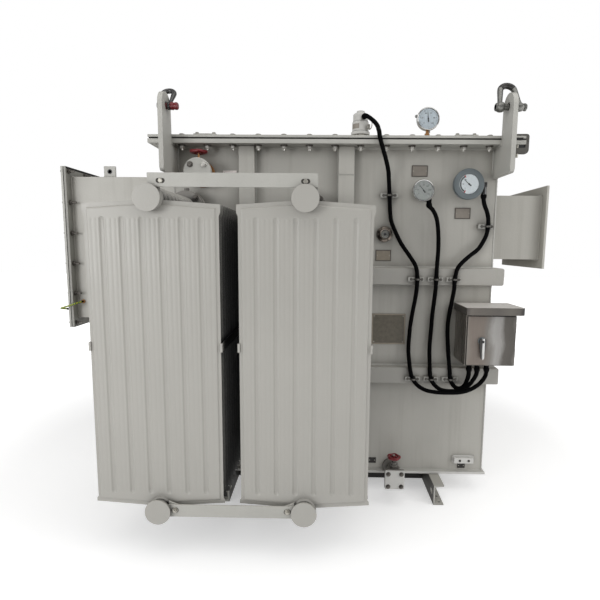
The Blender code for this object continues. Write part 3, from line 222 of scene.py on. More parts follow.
finishes = {
    # each one: its name, its colour as it reads on a screen, its roughness, and the layers that it has
    # the tank's paint: grimeAndShade and hollow paint shade into its corners, the band under the rim and
    # its deep gaps
    "tankPaint": makeFinish("tank_paint", (182, 180, 173), 0.42, spread=0.045, speckle=0.10, streak=0.22,
                            bump=0.0006, bumpSize=0.010, grimeAndShade=0.62, grimeAndShadeReach=0.06,
                            grimeAndShadeColour=(72, 66, 57), dust=0.2, hollow=0.4, hollowReach=0.14),
    "panelPaint": makeFinish("panel_paint", (170, 168, 162), 0.38, spread=0.03, patch=2.2, speckle=0.06,
                             bump=0.0004, bumpSize=0.012, grimeAndShade=0.35, dust=0.2),
    # a shaded copy of the panel paint for the parts behind the front panel, with painted shade almost black
    # in the deep gaps
    "shadedPanelPaint": makeFinish("shaded_panel_paint", (156, 154, 148), 0.5, spread=0.05, patch=3, grimeAndShade=0.5,
                             hollow=0.99, hollowReach=0.5, hollowRange=(0.28, 0.6), hollowColour=(6, 6, 6)),
    "steelwork": makeFinish("steelwork_paint", (178, 177, 171), 0.43, spread=0.045, patch=6, speckle=0.12,
                            streak=0.05, bump=0.0007, bumpSize=0.008, grimeAndShade=0.42, dust=0.2),
    # a lit copy of the grey paint, for faces that catch the light
    "litPaint": makeFinish("lit_grey_paint", (212, 211, 207), 0.42, spread=0.04, patch=8, speckle=0.12,
                              bump=0.0006, bumpSize=0.008, grimeAndShade=0.35),
    "shadePaint": makeFinish("shade_paint", (58, 55, 50), 0.55, spread=0.1, patch=9, speckle=0.2,
                             grimeAndShade=0.5),
    # a shaded copy of the bolt metal, for bolts and washers in shadow
    "shadedBolt": makeFinish("shaded_bolts", (96, 92, 87), 0.34, metallic=0.5, spread=0.2, patch=60,
                           speckle=0.3, grimeAndShade=0.6, grimeAndShadeColour=(16, 15, 14)),
    # a shaded copy of the steelwork paint for the belts
    "shadedBeltPaint": makeFinish("shaded_belt_paint", (168, 166, 160), 0.45, spread=0.05, patch=6, speckle=0.12,
                            streak=0.05, bump=0.0007, bumpSize=0.008, grimeAndShade=0.42, dust=0.2),
    # a shaded copy of the steelwork paint, with painted shade in its hollows
    "shadedSteelwork": makeFinish("shaded_steelwork_paint", (124, 121, 115), 0.42, spread=0.08, patch=8,
                                speckle=0.25, grimeAndShade=0.8, grimeAndShadeColour=(26, 24, 22), hollow=0.9,
                                hollowReach=0.1, hollowRange=(0.1, 0.6)),
    # a shaded copy of the grey paint, for faces in shade
    "shadedGreyPaint": makeFinish("shaded_grey_paint", (146, 145, 139), 0.5, spread=0.07, patch=7, speckle=0.2,
                            bump=0.0008, bumpSize=0.008, grimeAndShade=0.5, dust=0.3, hollow=0.9, hollowReach=0.25),
    "darkPaint": makeFinish("black_paint", (14, 13, 14), 0.2, spread=0.25, patch=30, bump=0.0008,
                            bumpSize=0.008, specular=0.9),
    "galvanised": makeFinish("galvanised_steel", (132, 132, 128), 0.36, metallic=0.8, spread=0.2, patch=40,
                             speckle=0.5, speckleSize=0.007, bump=0.0009, bumpSize=0.006, spangle=0.7,
                             grimeAndShade=0.5, grimeAndShadeColour=(20, 20, 19)),
    "crownSteel": makeFinish("shackle_crown_steel", (46, 45, 43), 0.3, metallic=0.5, spread=0.5, patch=60,
                             speckle=0.6, speckleSize=0.005, bump=0.0009, bumpSize=0.006),
    "castGrey": makeFinish("cast_grey", (146, 145, 139), 0.5, spread=0.09, patch=24, speckle=0.2,
                           bump=0.0009, bumpSize=0.004, grimeAndShade=0.4),
    "stainless": makeFinish("stainless_steel", (150, 145, 138), 0.3, metallic=0.9, spread=0.05, patch=5,
                            bump=0.00006, bumpSize=0.004, stretch=(9, 9, 0.25), grimeAndShade=0.35,
                            roughSpread=0.09),
    "castLight": makeFinish("cast_light_grey", (198, 197, 193), 0.42, spread=0.07, patch=24, speckle=0.15,
                            bump=0.0006, bumpSize=0.004, grimeAndShade=0.45),
    "clampSteel": makeFinish("clamp_steel", (92, 90, 86), 0.45, metallic=0.6, spread=0.14, patch=30,
                             speckle=0.25, grimeAndShade=0.4),
    # a lit copy of the bolt metal, for nuts and bolts that catch the light
    "litBolt": makeFinish("lit_bolts", (202, 200, 194), 0.28, metallic=0.6, spread=0.08, patch=60,
                             speckle=0.1, grimeAndShade=0.4),
    "zincBolt": makeFinish("zinc_bolts", (176, 173, 164), 0.34, metallic=0.8, spread=0.12, patch=60,
                           speckle=0.15, grimeAndShade=0.3),
    "rubber": makeFinish("black_rubber", (4, 4, 5), 0.75, spread=0.2, patch=14, bump=0.0003, bumpSize=0.003,
                         specular=0.06),
    "gasket": makeFinish("cork_gasket", (18, 17, 16), 0.75, spread=0.25, patch=60, speckle=0.3, bump=0.0006,
                         bumpSize=0.003),
    "brass": makeFinish("brass", (168, 122, 78), 0.4, metallic=0.6, spread=0.16, patch=26, speckle=0.2,
                        bump=0.0005, bumpSize=0.004, grimeAndShade=0.5, grimeAndShadeColour=(70, 44, 22)),
    "redEnamel": makeFinish("red_enamel", (112, 8, 20), 0.34, spread=0.16, patch=34, speckle=0.16,
                            bump=0.0005, bumpSize=0.005, coat=0.15, grimeAndShade=0.5, grimeAndShadeColour=(40, 8, 10)),
    "gaugeGrey": makeFinish("gauge_grey", (96, 104, 107), 0.36, spread=0.07, patch=22, speckle=0.12,
                            bump=0.0005, bumpSize=0.004, grimeAndShade=0.35, grimeAndShadeColour=(28, 30, 30)),
    "gaugeDark": makeFinish("gauge_dark", (58, 60, 60), 0.4, spread=0.1, patch=22, speckle=0.2, bump=0.0005,
                            bumpSize=0.004),
    "chrome": makeFinish("chrome", (205, 205, 203), 0.12, metallic=1.0, spread=0.04, patch=30,
                         roughSpread=0.05, grimeAndShade=0.25, grimeAndShadeColour=(40, 38, 36)),
    "darkChrome": makeFinish("dark_chrome", (112, 104, 96), 0.22, metallic=0.85, spread=0.2, patch=40,
                             speckle=0.2, roughSpread=0.08, grimeAndShade=0.8, grimeAndShadeColour=(16, 14, 12)),
    "dialFace": makeFinish("dial_enamel", (200, 206, 212), 0.35, spread=0.02, patch=40, speckle=0.03),
    "dialWhite": makeFinish("dial_white", (214, 216, 217), 0.35, spread=0.02, patch=40, speckle=0.03),
    "dialGrey": makeFinish("dial_grey", (152, 152, 147), 0.4, spread=0.10, patch=60, speckle=0.3),
    "markBlack": makeFinish("dial_marks", (28, 29, 31), 0.5, spread=0.15, patch=90),
    "markRed": makeFinish("dial_red", (178, 40, 40), 0.5, spread=0.12, patch=90),
    "platePale": makeFinish("plate_pale", (144, 137, 128), 0.34, metallic=0.2, spread=0.10, patch=30,
                            speckle=0.15, bump=0.0002, bumpSize=0.003),
    "plateBrown": makeFinish("plate_brown", (86, 80, 68), 0.36, metallic=0.2, spread=0.16, patch=60,
                             speckle=0.5, bump=0.0002, bumpSize=0.003),
    "plateWhite": makeFinish("plate_white", (246, 238, 234), 0.36, metallic=0.1, spread=0.04, patch=40,
                             speckle=0.05),
    "plateDull": makeFinish("plate_dull", (140, 131, 117), 0.4, metallic=0.2, spread=0.10, patch=40,
                            speckle=0.15),
    "crossShade": makeFinish("cross_member_shade", (30, 28, 26), 0.6, spread=0.15, patch=9, speckle=0.2),
    "plateBorder": makeFinish("plate_border", (82, 76, 70), 0.4, metallic=0.2, spread=0.10, patch=40,
                              speckle=0.2),
    "plateDark": makeFinish("plate_dark", (40, 38, 36), 0.4, metallic=0.3, spread=0.15, patch=40,
                            speckle=0.2),
    "porcelain": makeFinish("brown_porcelain", (120, 62, 40), 0.18, spread=0.08, patch=20, coat=0.6),
    "jumperSleeve": makeFinish("jumper_sleeve", (150, 158, 40), 0.42, spread=0.1, patch=60, speckle=0.1),
    # dark grey that stands in for the shade inside slots, bores and the throat
    "inside": makeFinish("inside_shade_grey", (88, 86, 82), 0.7, spread=0.1, patch=12, bump=0.0006,
                         bumpSize=0.005),
}


brushedBump = 0.00005      # depth of the brush marks in the brushed sheets


def makeRampFinish(name, stops, axis, roughness, metallic, drift=0.06, stretch=(9, 9, 0.25),
                   litTopColour=None):
    # brushed sheet with a painted reflection: its tone runs across it as the room's reflection would; stops
    # are (share, colour)
    made, nodes, links, shader = newMaterial(name)
    shader.inputs["Metallic"].default_value = metallic
    coords = nodes.new("ShaderNodeTexCoord")
    place = coords.outputs["Object"]
    parts = nodes.new("ShaderNodeSeparateXYZ")
    links.new(coords.outputs["Generated"], parts.inputs[0])
    wander = noiseNode(nodes, links, place, 14, 4, (1, 1, 0.5))
    shifted = mathNode(nodes, links, "ADD", parts.outputs[axis],
                       rangeNode(nodes, links, wander, 0.3, 0.7, -drift, drift))
    ramp = nodes.new("ShaderNodeValToRGB")
    links.new(shifted, ramp.inputs[0])
    steps = ramp.color_ramp.elements
    while len(steps) < len(stops):
        steps.new(0.5)
    for step, (share, colour) in zip(steps, stops):
        step.position, step.color = share, (*fromScreen(*colour), 1)
    grain = noiseNode(nodes, links, place, 90, 4, stretch)
    lines = rangeNode(nodes, links, grain, 0.3, 0.7, 0.93, 1.06)
    tone = nodes.new("ShaderNodeVectorMath")
    tone.operation = "SCALE"
    links.new(ramp.outputs[0], tone.inputs[0])
    links.new(lines, tone.inputs["Scale"])
    links.new(tone.outputs[0], shader.inputs["Base Color"])
    # painted highlight: faces that look up take a lighter colour, as if lit from above
    if litTopColour:
        facing = nodes.new("ShaderNodeSeparateXYZ")
        links.new(nodes.new("ShaderNodeNewGeometry").outputs["Normal"], facing.inputs[0])
        upper = rangeNode(nodes, links, facing.outputs["Z"], 0.5, 0.9, 0, 1)
        top = blendNode(nodes, links, upper, tone.outputs[0], fromScreen(*litTopColour))
        links.new(top, shader.inputs["Base Color"])
    links.new(rangeNode(nodes, links, wander, 0.25, 0.75, roughness - 0.06, roughness + 0.06),
              shader.inputs["Roughness"])
    relief = nodes.new("ShaderNodeBump")
    relief.inputs["Strength"].default_value = 1
    relief.inputs["Distance"].default_value = brushedBump
    links.new(grain, relief.inputs["Height"])
    links.new(relief.outputs["Normal"], shader.inputs["Normal"])
    return made


# painted reflection on the door: a bright band across its middle, darker to the right
finishes["doorSteel"] = makeRampFinish("door_steel", (
    (0.0, (134, 128, 120)), (0.10, (122, 112, 104)), (0.34, (120, 111, 103)), (0.44, (122, 118, 113)),
    (0.54, (158, 156, 153)), (0.66, (150, 148, 145)), (0.76, (88, 84, 79)), (0.94, (80, 76, 71)),
    (1.0, (112, 109, 104)),
), "X", 0.4, 0.15)
# painted reflection along the lid, darkest at its ends, with a painted highlight on its top
finishes["lidSteel"] = makeRampFinish("lid_steel", (
    (0.0, (70, 66, 62)), (0.08, (106, 101, 95)), (0.20, (100, 95, 89)), (0.55, (90, 86, 81)),
    (0.75, (104, 100, 94)),
    (0.90, (90, 86, 81)), (0.97, (46, 44, 42)), (1.0, (34, 32, 31)),
), "X", 0.35, 0.15, 0.03, stretch=(0.25, 9, 9), litTopColour=(216, 212, 207))
# painted reflection on the lever: dark edges and a bright band down its middle
finishes["leverChrome"] = makeRampFinish("lever_chrome", (
    (0.0, (26, 25, 24)), (0.36, (44, 42, 40)), (0.46, (198, 198, 196)), (0.68, (226, 226, 224)),
    (0.80, (60, 58, 56)),
    (0.90, (30, 29, 28)), (1.0, (20, 20, 20)),
), "X", 0.24, 0.15, 0.04)


def makeGlass():
    made, nodes, links, shader = newMaterial("gauge_glass")
    shader.inputs["Transmission Weight"].default_value = 1
    shader.inputs["IOR"].default_value = 1.45
    shader.inputs["Base Color"].default_value = (0.94, 0.97, 0.98, 1)
    place = nodes.new("ShaderNodeTexCoord").outputs["Object"]
    smears = noiseNode(nodes, links, place, 40, 4)
    links.new(rangeNode(nodes, links, smears, 0.4, 0.75, 0.01, 0.12), shader.inputs["Roughness"])
    return made


finishes["glass"] = makeGlass()


def makeStripedSleeve():
    # a bonding lead's sleeve: yellow with a green stripe along it
    made = finishes["jumperSleeve"]
    nodes, links = made.node_tree.nodes, made.node_tree.links
    shader = nodes["Principled BSDF"]
    place = nodes.new("ShaderNodeTexCoord").outputs["Object"]
    waves = nodes.new("ShaderNodeTexWave")
    waves.inputs["Scale"].default_value = 38
    links.new(place, waves.inputs["Vector"])
    share = rangeNode(nodes, links, waves.outputs["Fac"], 0.45, 0.6, 0, 1)
    tone = blendNode(nodes, links, share, fromScreen(176, 168, 44), fromScreen(66, 122, 56))
    links.new(tone, shader.inputs["Base Color"])


makeStripedSleeve()
print("finishes made,", len(finishes))


# Shape helpers
def turnTo(axis):
    return Vector(axis).to_track_quat("Z", "Y").to_matrix().to_4x4()


def skin(shape, rings, closed=False):
    # joins loops of points into one surface
    loops = [[shape.verts.new(point) for point in ring] for ring in rings]
    pairs = list(zip(loops, loops[1:])) + ([(loops[-1], loops[0])] if closed else [])
    for near, far in pairs:
        for k in range(len(near)):
            after = (k + 1) % len(near)
            shape.faces.new((near[k], near[after], far[after], far[k]))
    if not closed:
        shape.faces.new(list(reversed(loops[0])))
        shape.faces.new(loops[-1])
    return loops


def turnsOf(count, shift=0.0):
    # angles spread evenly round a circle; shift is a share of the step between them
    return [math.tau * (k + shift) / count for k in range(count)]


def addTurned(shape, centre, axis, profile, count=32, spin=0.0):
    # profile holds (radius, distance along the axis), from the foot up
    at = Matrix.Translation(centre) @ turnTo(axis)
    skin(shape, [
        [at @ Vector((radius * math.cos(spin + turn), radius * math.sin(spin + turn), rise))
         for turn in turnsOf(count)]
        for radius, rise in profile
    ])


def addRod(shape, start, end, radius, count=20, edge=0.0):
    length = (Vector(end) - Vector(start)).length
    if edge:
        profile = [(radius - edge, 0), (radius - edge * 0.3, edge * 0.3), (radius, edge),
                   (radius, length - edge), (radius - edge * 0.3, length - edge * 0.3),
                   (radius - edge, length)]
    else:
        profile = [(radius, 0), (radius, length)]
    addTurned(shape, start, Vector(end) - Vector(start), profile, count)


def softenEdges(shape, edges, size, steps=2):
    if size and edges:
        bmesh.ops.bevel(shape, geom=list(edges), offset=size, offset_type="OFFSET", segments=steps,
                        profile=0.5, affect="EDGES", clamp_overlap=True)


def addBox(shape, low, high, edge=0.0, steps=2):
    corners = [shape.verts.new((x, y, z))
               for z in (low[2], high[2]) for y in (low[1], high[1]) for x in (low[0], high[0])]
    faces = [
        shape.faces.new([corners[k] for k in loop])
        for loop in ((0, 2, 3, 1), (4, 5, 7, 6), (0, 1, 5, 4), (2, 6, 7, 3), (0, 4, 6, 2), (1, 3, 7, 5))
    ]
    softenEdges(shape, {e for f in faces for e in f.edges}, edge, steps)


def addPlate(shape, outline, low, high, axis, edge=0.0, steps=2):
    # a flat outline, pulled from low to high along one axis
    def at(point, depth):
        u, v = point
        return {"X": (depth, u, v), "Y": (u, depth, v), "Z": (u, v, depth)}[axis]

    near, far = ([shape.verts.new(at(point, depth)) for point in outline] for depth in (low, high))
    caps = [shape.faces.new(list(reversed(near))), shape.faces.new(far)]
    for k in range(len(outline)):
        after = (k + 1) % len(outline)
        shape.faces.new((near[k], near[after], far[after], far[k]))
    softenEdges(shape, {e for f in caps for e in f.edges}, edge, steps)


def curveThrough(points, step):
    # the same smooth curve as the conduits' solids follow
    route = [Vector(point) for point in points]
    ends = [route[0] * 2 - route[1], *route, route[-1] * 2 - route[-2]]
    found = []
    for before, start, end, after in zip(ends, ends[1:], ends[2:], ends[3:]):
        count = max(1, round((end - start).length / step))
        for k in range(count):
            t = k / count
            found.append(start + ((end - before) * t + (before * 2 - start * 5 + end * 4 - after) * t ** 2
                                  + (start * 3 - before - end * 3 + after) * t ** 3) / 2)
    return [*found, route[-1]]


def addTube(shape, points, radius, count=12, closed=False, up=toTop):
    # radius is a number, or a list with one number for each point
    points = [Vector(point) for point in points]
    total = len(points)
    radii = radius if isinstance(radius, (list, tuple)) else [radius] * total
    ways = []
    for k in range(total):
        before = points[k - 1] if k or closed else points[0]
        after = points[(k + 1) % total] if k < total - 1 or closed else points[-1]
        ways.append((after - before).normalized())
    side = ways[0].cross(Vector(up))
    if side.length < 0.1:
        side = ways[0].cross(Vector(toRight))
    side.normalize()
    rings = []
    for point, way, size in zip(points, ways, radii):
        side = (side - way * side.dot(way)).normalized()
        other = way.cross(side)
        rings.append([
            point + (side * math.cos(turn) + other * math.sin(turn)) * size for turn in turnsOf(count)
        ])
    skin(shape, rings, closed)


def addWeld(shape, start, end, size=0.0035, up=toTop):
    # a bead with a small ripple along it
    start, end = Vector(start), Vector(end)
    count = max(4, int((end - start).length / (size * 1.3)))
    points = [start.lerp(end, k / count) for k in range(count + 1)]
    sizes = [size * (1.0 + 0.16 * (k % 2) + 0.1 * math.sin(k * 1.7)) for k in range(count + 1)]
    addTube(shape, points, sizes, 6, up=up)


def addBolt(shape, seat, way, size=0.008, height=None, washer=True, stud=0.0):
    # hexagon with a chamfered top, on a washer; size is half of its width over corners
    height = height or size * 0.8
    rise = size * 0.22 if washer else 0.0
    if washer:
        addTurned(shape, seat, way, [(size * 1.3, 0), (size * 1.3, rise * 0.7), (size * 1.22, rise)], 14)
    addTurned(shape, seat, way, [(size, rise), (size, rise + height * 0.82), (size * 0.84, rise + height)],
              6)
    if stud:
        addTurned(shape, seat, way, [(size * 0.5, rise), (size * 0.5, rise + height + stud * 0.85),
                                     (size * 0.4, rise + height + stud)], 10)


def carve(shape, tool):
    # takes the tool's volume out of the shape
    pair = []
    for label, part in (("carved", shape), ("carver", tool)):
        bmesh.ops.recalc_face_normals(part, faces=part.faces)
        mesh = bpy.data.meshes.new(label)
        part.to_mesh(mesh)
        part.free()
        thing = bpy.data.objects.new(label, mesh)
        bpy.context.scene.collection.objects.link(thing)
        pair.append(thing)
    step = pair[0].modifiers.new("cut", "BOOLEAN")
    step.object, step.operation, step.solver = pair[1], "DIFFERENCE", "EXACT"
    ready = bmesh.new()
    ready.from_object(pair[0], bpy.context.evaluated_depsgraph_get())
    for thing in pair:
        mesh = thing.data
        bpy.data.objects.remove(thing)
        bpy.data.meshes.remove(mesh)
    return ready


def finishPiece(name, shape, finish, body="transformer", side=frontSide, replaces=(),
                sharp=32):
    bmesh.ops.recalc_face_normals(shape, faces=shape.faces)
    shape.transform(side)
    limit = math.radians(sharp)
    for face in shape.faces:
        face.smooth = True
    for line in shape.edges:
        line.smooth = len(line.link_faces) == 2 and line.calc_face_angle(0) < limit
    mesh = bpy.data.meshes.new(name)
    shape.to_mesh(mesh)
    shape.free()
    piece = bpy.data.objects.new(name, mesh)
    bpy.context.scene.collection.objects.link(piece)
    mesh.materials.append(finishes[finish])
    shading = piece.modifiers.new("shading", "WEIGHTED_NORMAL")
    shading.keep_sharp = True
    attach(piece, body)
    if replaces:
        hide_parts(*([replaces] if isinstance(replaces, str) else replaces))
    return piece


# Tank walls with their ribs, header stubs and ground pad
tank = {
    "ribs": (-0.410, 0.053), "ribWidth": 0.074, "ribEdge": 0.004,
    "spans": ((wallFoot, 0.5767), (0.6593, 1.0597), (1.1423, wallTop)), "ribSeam": 1.571,
    "cornerWeldFoot": 0.116,
    "banks": (-0.683, -0.115), "levels": (0.209, 1.409),
    "stubRadius": 0.038, "stubWeld": 0.043, "flangeRadius": 0.080, "flangeFace": -0.500,
    "pad": (0.667, 0.1755), "padSize": (0.098, 0.029, 0.024), "padHoles": (-0.0200, 0.0240),
    "padHoleRadius": 0.0070,
    "weld": 0.0034, "wall": 0.008, "endHalf": 0.4417,
}


def addRibs(shape):
    half = tank["ribWidth"] / 2
    for place in tank["ribs"]:
        for low, high in tank["spans"]:
            addBox(shape, (place - half, ribFront, low), (place + half, wallFront + 0.004, high),
                   tank["ribEdge"])


def addRibWelds(shape):
    half = tank["ribWidth"] / 2
    for place in tank["ribs"]:
        for low, high in tank["spans"]:
            for edge in (-1, 1):
                x = place + edge * (half + 0.001)
                addWeld(shape, (x, wallFront - 0.001, low + 0.004), (x, wallFront - 0.001, high - 0.004),
                        tank["weld"], toRear)
        addWeld(shape, (place - half + 0.004, ribFront, tank["ribSeam"]),
                (place + half - 0.004, ribFront, tank["ribSeam"]), 0.0022, toRear)
    for edge in (-1, 1):
        x = edge * (halfLength - 0.002)
        addWeld(shape, (x, wallFront + 0.002, tank["cornerWeldFoot"]),
                (x, wallFront + 0.002, rimFoot - 0.003), 0.0045, toRear)


def addStubs(shape):
    for place in tank["banks"]:
        for level in tank["levels"]:
            face = tank["flangeFace"]
            addRod(shape, (place, wallFront + 0.004, level), (place, face, level), tank["stubRadius"], 32)
            addRod(shape, (place, face + 0.016, level), (place, face, level), tank["flangeRadius"], 40,
                   0.002)
            ring, ripples = tank["stubWeld"], 40
            addTube(shape, [(place + ring * math.cos(a), wallFront - 0.001, level + ring * math.sin(a))
                            for a in turnsOf(ripples)],
                    [0.0045 * (1 + 0.15 * (k % 2)) for k in range(ripples)], 6, closed=True, up=toRear)


def makeGroundPad(prefix, side):
    x, z = tank["pad"]
    width, height, depth = tank["padSize"]
    block = bmesh.new()
    addBox(block, (x - width / 2, wallFront - depth, z - height / 2),
           (x + width / 2, wallFront + 0.002, z + height / 2), 0.0025)
    drill = bmesh.new()
    for shift in tank["padHoles"]:
        addRod(drill, (x + shift, wallFront - depth - 0.01, z), (x + shift, wallFront - depth + 0.016, z),
               tank["padHoleRadius"], 18)
    block = carve(block, drill)
    for edge in (-1, 1):
        at = (x + edge * (width / 2 + 0.001), wallFront - 0.001)
        addWeld(block, (*at, z - height / 2 - 0.003), (*at, z + height / 2 + 0.003), 0.005, toRear)
    for edge in (-1, 1):
        addWeld(block, (x - width / 2, wallFront - 0.001, z + edge * (height / 2 + 0.001)),
                (x + width / 2, wallFront - 0.001, z + edge * (height / 2 + 0.001)), 0.0048)
    # the pad takes the lit copy of the grey paint
    finishPiece(f"{prefix}_ground_pad", block, "litPaint", side=side)


def makeLongWall(prefix, side):
    shape = bmesh.new()
    addBox(shape, (-halfLength, wallFront, wallFoot), (halfLength, wallFront + tank["wall"], wallTop),
           0.002)
    addRibs(shape)
    addStubs(shape)
    finishPiece(f"{prefix}_wall_shell", shape, "tankPaint", side=side, replaces=f"{prefix}_wall")
    beads = bmesh.new()
    addRibWelds(beads)
    finishPiece(f"{prefix}_wall_welds", beads, "steelwork", side=side, sharp=60)
    makeGroundPad(prefix, side)


def makeEndWall(name, edge):
    shape = bmesh.new()
    near, far = sorted((edge * halfLength, edge * (halfLength - tank["wall"])))
    addBox(shape, (near, -tank["endHalf"], wallFoot), (far, tank["endHalf"], wallTop), 0.002)
    finishPiece(f"{name}_plate", shape, "tankPaint", replaces=name)


for prefix, side in sides:
    makeLongWall(prefix, side)
for name, edge in (("left_wall", -1), ("right_wall", 1)):
    makeEndWall(name, edge)
print("tank walls made")


# Rails that run round the tank: belts, rim, gasket and their fillets
rails = {
    "beltFeet": {"lower_belt": 0.577, "upper_belt": 1.060}, "beltHeight": 0.082, "beltDepth": 0.042,
    "beltRound": 0.007,
    "rimLip": 0.087, "rimInner": -0.030, "throatHalf": 0.2203, "fillet": 0.006, "gasketEnd": (0.772, 0.838),
}
aroundTank = [(-halfLength, wallFront), (halfLength, wallFront), (halfLength, -wallFront),
              (-halfLength, -wallFront)]
pastThroat = [(-halfLength, -rails["throatHalf"]), *aroundTank, (-halfLength, rails["throatHalf"])]


def addRail(shape, profile, path, closed=True):
    # profile holds (distance out of the wall, height); path holds the wall's corners, seen from above
    total = len(path)
    rings = []
    for k, (x, y) in enumerate(path):
        ways = []
        if k or closed:
            ways.append(Vector((x - path[k - 1][0], y - path[k - 1][1])).normalized())
        if k < total - 1 or closed:
            after = path[(k + 1) % total]
            ways.append(Vector((after[0] - x, after[1] - y)).normalized())
        outs = [Vector((way.y, -way.x)) for way in ways]
        mitre = (outs[0] + outs[-1]) / (1 + outs[0].dot(outs[-1]))
        rings.append([(x + mitre.x * out, y + mitre.y * out, height) for out, height in profile])
    skin(shape, rings, closed)


def barProfile(inner, outer, low, high, edge):
    bit = edge * 0.3
    return [(inner, low), (outer - edge, low), (outer - bit, low + bit), (outer, low + edge),
            (outer, high - edge), (outer - bit, high - bit), (outer - edge, high), (inner, high)]


def filletProfile(height, size):
    # size is negative for a fillet under the height
    return [(0.0, height), (abs(size), height), (abs(size) * 0.45, height + size * 0.55),
            (0.0, height + size * 1.1)]


def makeBelts():
    for name, foot in rails["beltFeet"].items():
        top = foot + rails["beltHeight"]
        path, closed = (pastThroat, False) if name == "upper_belt" else (aroundTank, True)
        shape = bmesh.new()
        addRail(shape, barProfile(seatGap, rails["beltDepth"], foot, top, rails["beltRound"]), path, closed)
        # the belts take the shaded copy of the steelwork paint
        finishPiece(f"{name}_channel", shape, "shadedBeltPaint", replaces=name)
        beads = bmesh.new()
        addRail(beads, filletProfile(top, rails["fillet"]), path, closed)
        addRail(beads, filletProfile(foot, -rails["fillet"]), path, closed)
        for place in tank["ribs"]:
            for level, grow in ((top, 1), (foot, -1)):
                for flip in (-1, 1):
                    z = level + grow * 0.001
                    addWeld(beads, (place - 0.036, flip * (ribFront + 0.001), z),
                            (place + 0.036, flip * (ribFront + 0.001), z), 0.003)
        finishPiece(f"{name}_welds", beads, "steelwork", sharp=60)


def makeRimAndCover():
    lip = rails["rimLip"]
    shape = bmesh.new()
    addRail(shape, barProfile(rails["rimInner"], lip, rimFoot, rimTop, 0.0025), aroundTank)
    finishPiece("tank_rim_bar", shape, "steelwork", replaces="tank_rim")
    beads = bmesh.new()
    addRail(beads, filletProfile(rimFoot, -0.007), aroundTank)
    finishPiece("tank_rim_welds", beads, "steelwork", sharp=60)
    seal = bmesh.new()
    addRail(seal, barProfile(rails["rimInner"], lip - 0.005, rimTop + seatGap, coverFoot - seatGap, 0.0018),
            aroundTank)
    finishPiece("cover_gasket_strip", seal, "gasket", replaces="cover_gasket")
    swollen = bmesh.new()
    left, right = rails["gasketEnd"]
    addBox(swollen, (left, rimFront - 0.0006, rimTop - 0.002), (right, rimFront + 0.01, coverFoot + 0.004),
           0.001)
    finishPiece("cover_gasket_end", swollen, "gasket")
    plate = bmesh.new()
    x, y = halfLength + lip, -wallFront + lip
    addBox(plate, (-x, -y, coverFoot), (x, y, coverTop), 0.0025)
    finishPiece("tank_cover_plate", plate, "steelwork", replaces="tank_cover")


makeBelts()
makeRimAndCover()

# Bolts through the cover, the gasket and the rim
coverBolts = {"first": -0.705, "pitch": 0.11725, "count": 13, "line": 0.500, "endLine": 0.812,
              "endPitch": 0.1125, "endCount": 9, "size": 0.0130, "stud": 0.009}


def coverBoltPlaces():
    places = [(coverBolts["first"] + coverBolts["pitch"] * k, flip * coverBolts["line"])
              for flip in (-1, 1) for k in range(coverBolts["count"])]
    middle = (coverBolts["endCount"] - 1) / 2
    places += [(flip * coverBolts["endLine"], (k - middle) * coverBolts["endPitch"])
               for flip in (-1, 1) for k in range(coverBolts["endCount"])]
    return places


def makeCoverBolts():
    shape, nuts, washers = bmesh.new(), bmesh.new(), bmesh.new()
    for x, y in coverBoltPlaces():
        addBolt(shape, (x, y, coverTop), toTop, coverBolts["size"], 0.0075)
        addTurned(washers, (x, y, rimFoot), toFoot,
                  [(0.0175, 0), (0.0175, 0.003), (0.0135, 0.004), (0.0135, 0.0070)], 20)
        addBolt(nuts, (x, y, rimFoot - 0.0065), toFoot, 0.0118, 0.0115, washer=False,
                stud=coverBolts["stud"] * 0.8)
    finishPiece("cover_bolts", shape, "zincBolt")
    # lit nuts on shaded washers: a painted highlight on each nut and a painted shadow round it
    finishPiece("cover_nuts", nuts, "litBolt")
    finishPiece("cover_washers", washers, "shadedBolt")


makeCoverBolts()

handholes = {"place": 0.614, "setback": -0.370, "width": 0.108, "depth": 0.150, "height": 0.026}


def makeHandhole(name, edge):
    x, y = edge * handholes["place"], handholes["setback"]
    w, d, top = handholes["width"] / 2, handholes["depth"] / 2, coverTop + handholes["height"]
    shape = bmesh.new()
    addBox(shape, (x - w + 0.004, y - d + 0.004, coverTop + seatGap),
           (x + w - 0.004, y + d - 0.004, top - 0.0125), 0.002)
    addBox(shape, (x - w, y - d, top - 0.012), (x + w, y + d, top), 0.002)
    finishPiece(f"{name}_lid", shape, "steelwork", replaces=name)
    bolts = bmesh.new()
    for along in (-1, 1):
        for across in (-1, 0, 1):
            addBolt(bolts, (x + along * (w - 0.014), y + across * (d - 0.016), top), toTop, 0.0085, 0.006)
    finishPiece(f"{name}_bolts", bolts, "zincBolt")


for name, edge in (("handhole_cover_left", -1), ("handhole_cover_right", 1)):
    makeHandhole(name, edge)
print("rim, cover and belts made")


# Base plate and the channels under it
base = {"lip": 0.015, "low": 0.1003, "high": 0.1123, "web": 0.495, "flange": 0.050, "thick": 0.0055,
        "lipThick": 0.008, "height": 0.100, "reach": 0.580, "cross": 0.324,
        "slot": (0.536, 0.050, 0.008, 0.013), "holes": (0.562, 0.512), "holeLine": 0.526,
        "holeRadius": 0.007}


def makeBasePlate():
    x, y = halfLength + base["lip"], -wallFront + base["lip"]
    shape = bmesh.new()
    addBox(shape, (-x, -y, base["low"]), (x, y, base["high"]), 0.002)
    # the sheet takes the lit copy of the grey paint, for its lip that catches the light
    finishPiece("base_plate_sheet", shape, "litPaint", replaces="base_plate")
    bead = bmesh.new()
    addRail(bead, filletProfile(base["high"], 0.007), aroundTank)
    finishPiece("base_plate_weld", bead, "steelwork", sharp=60)


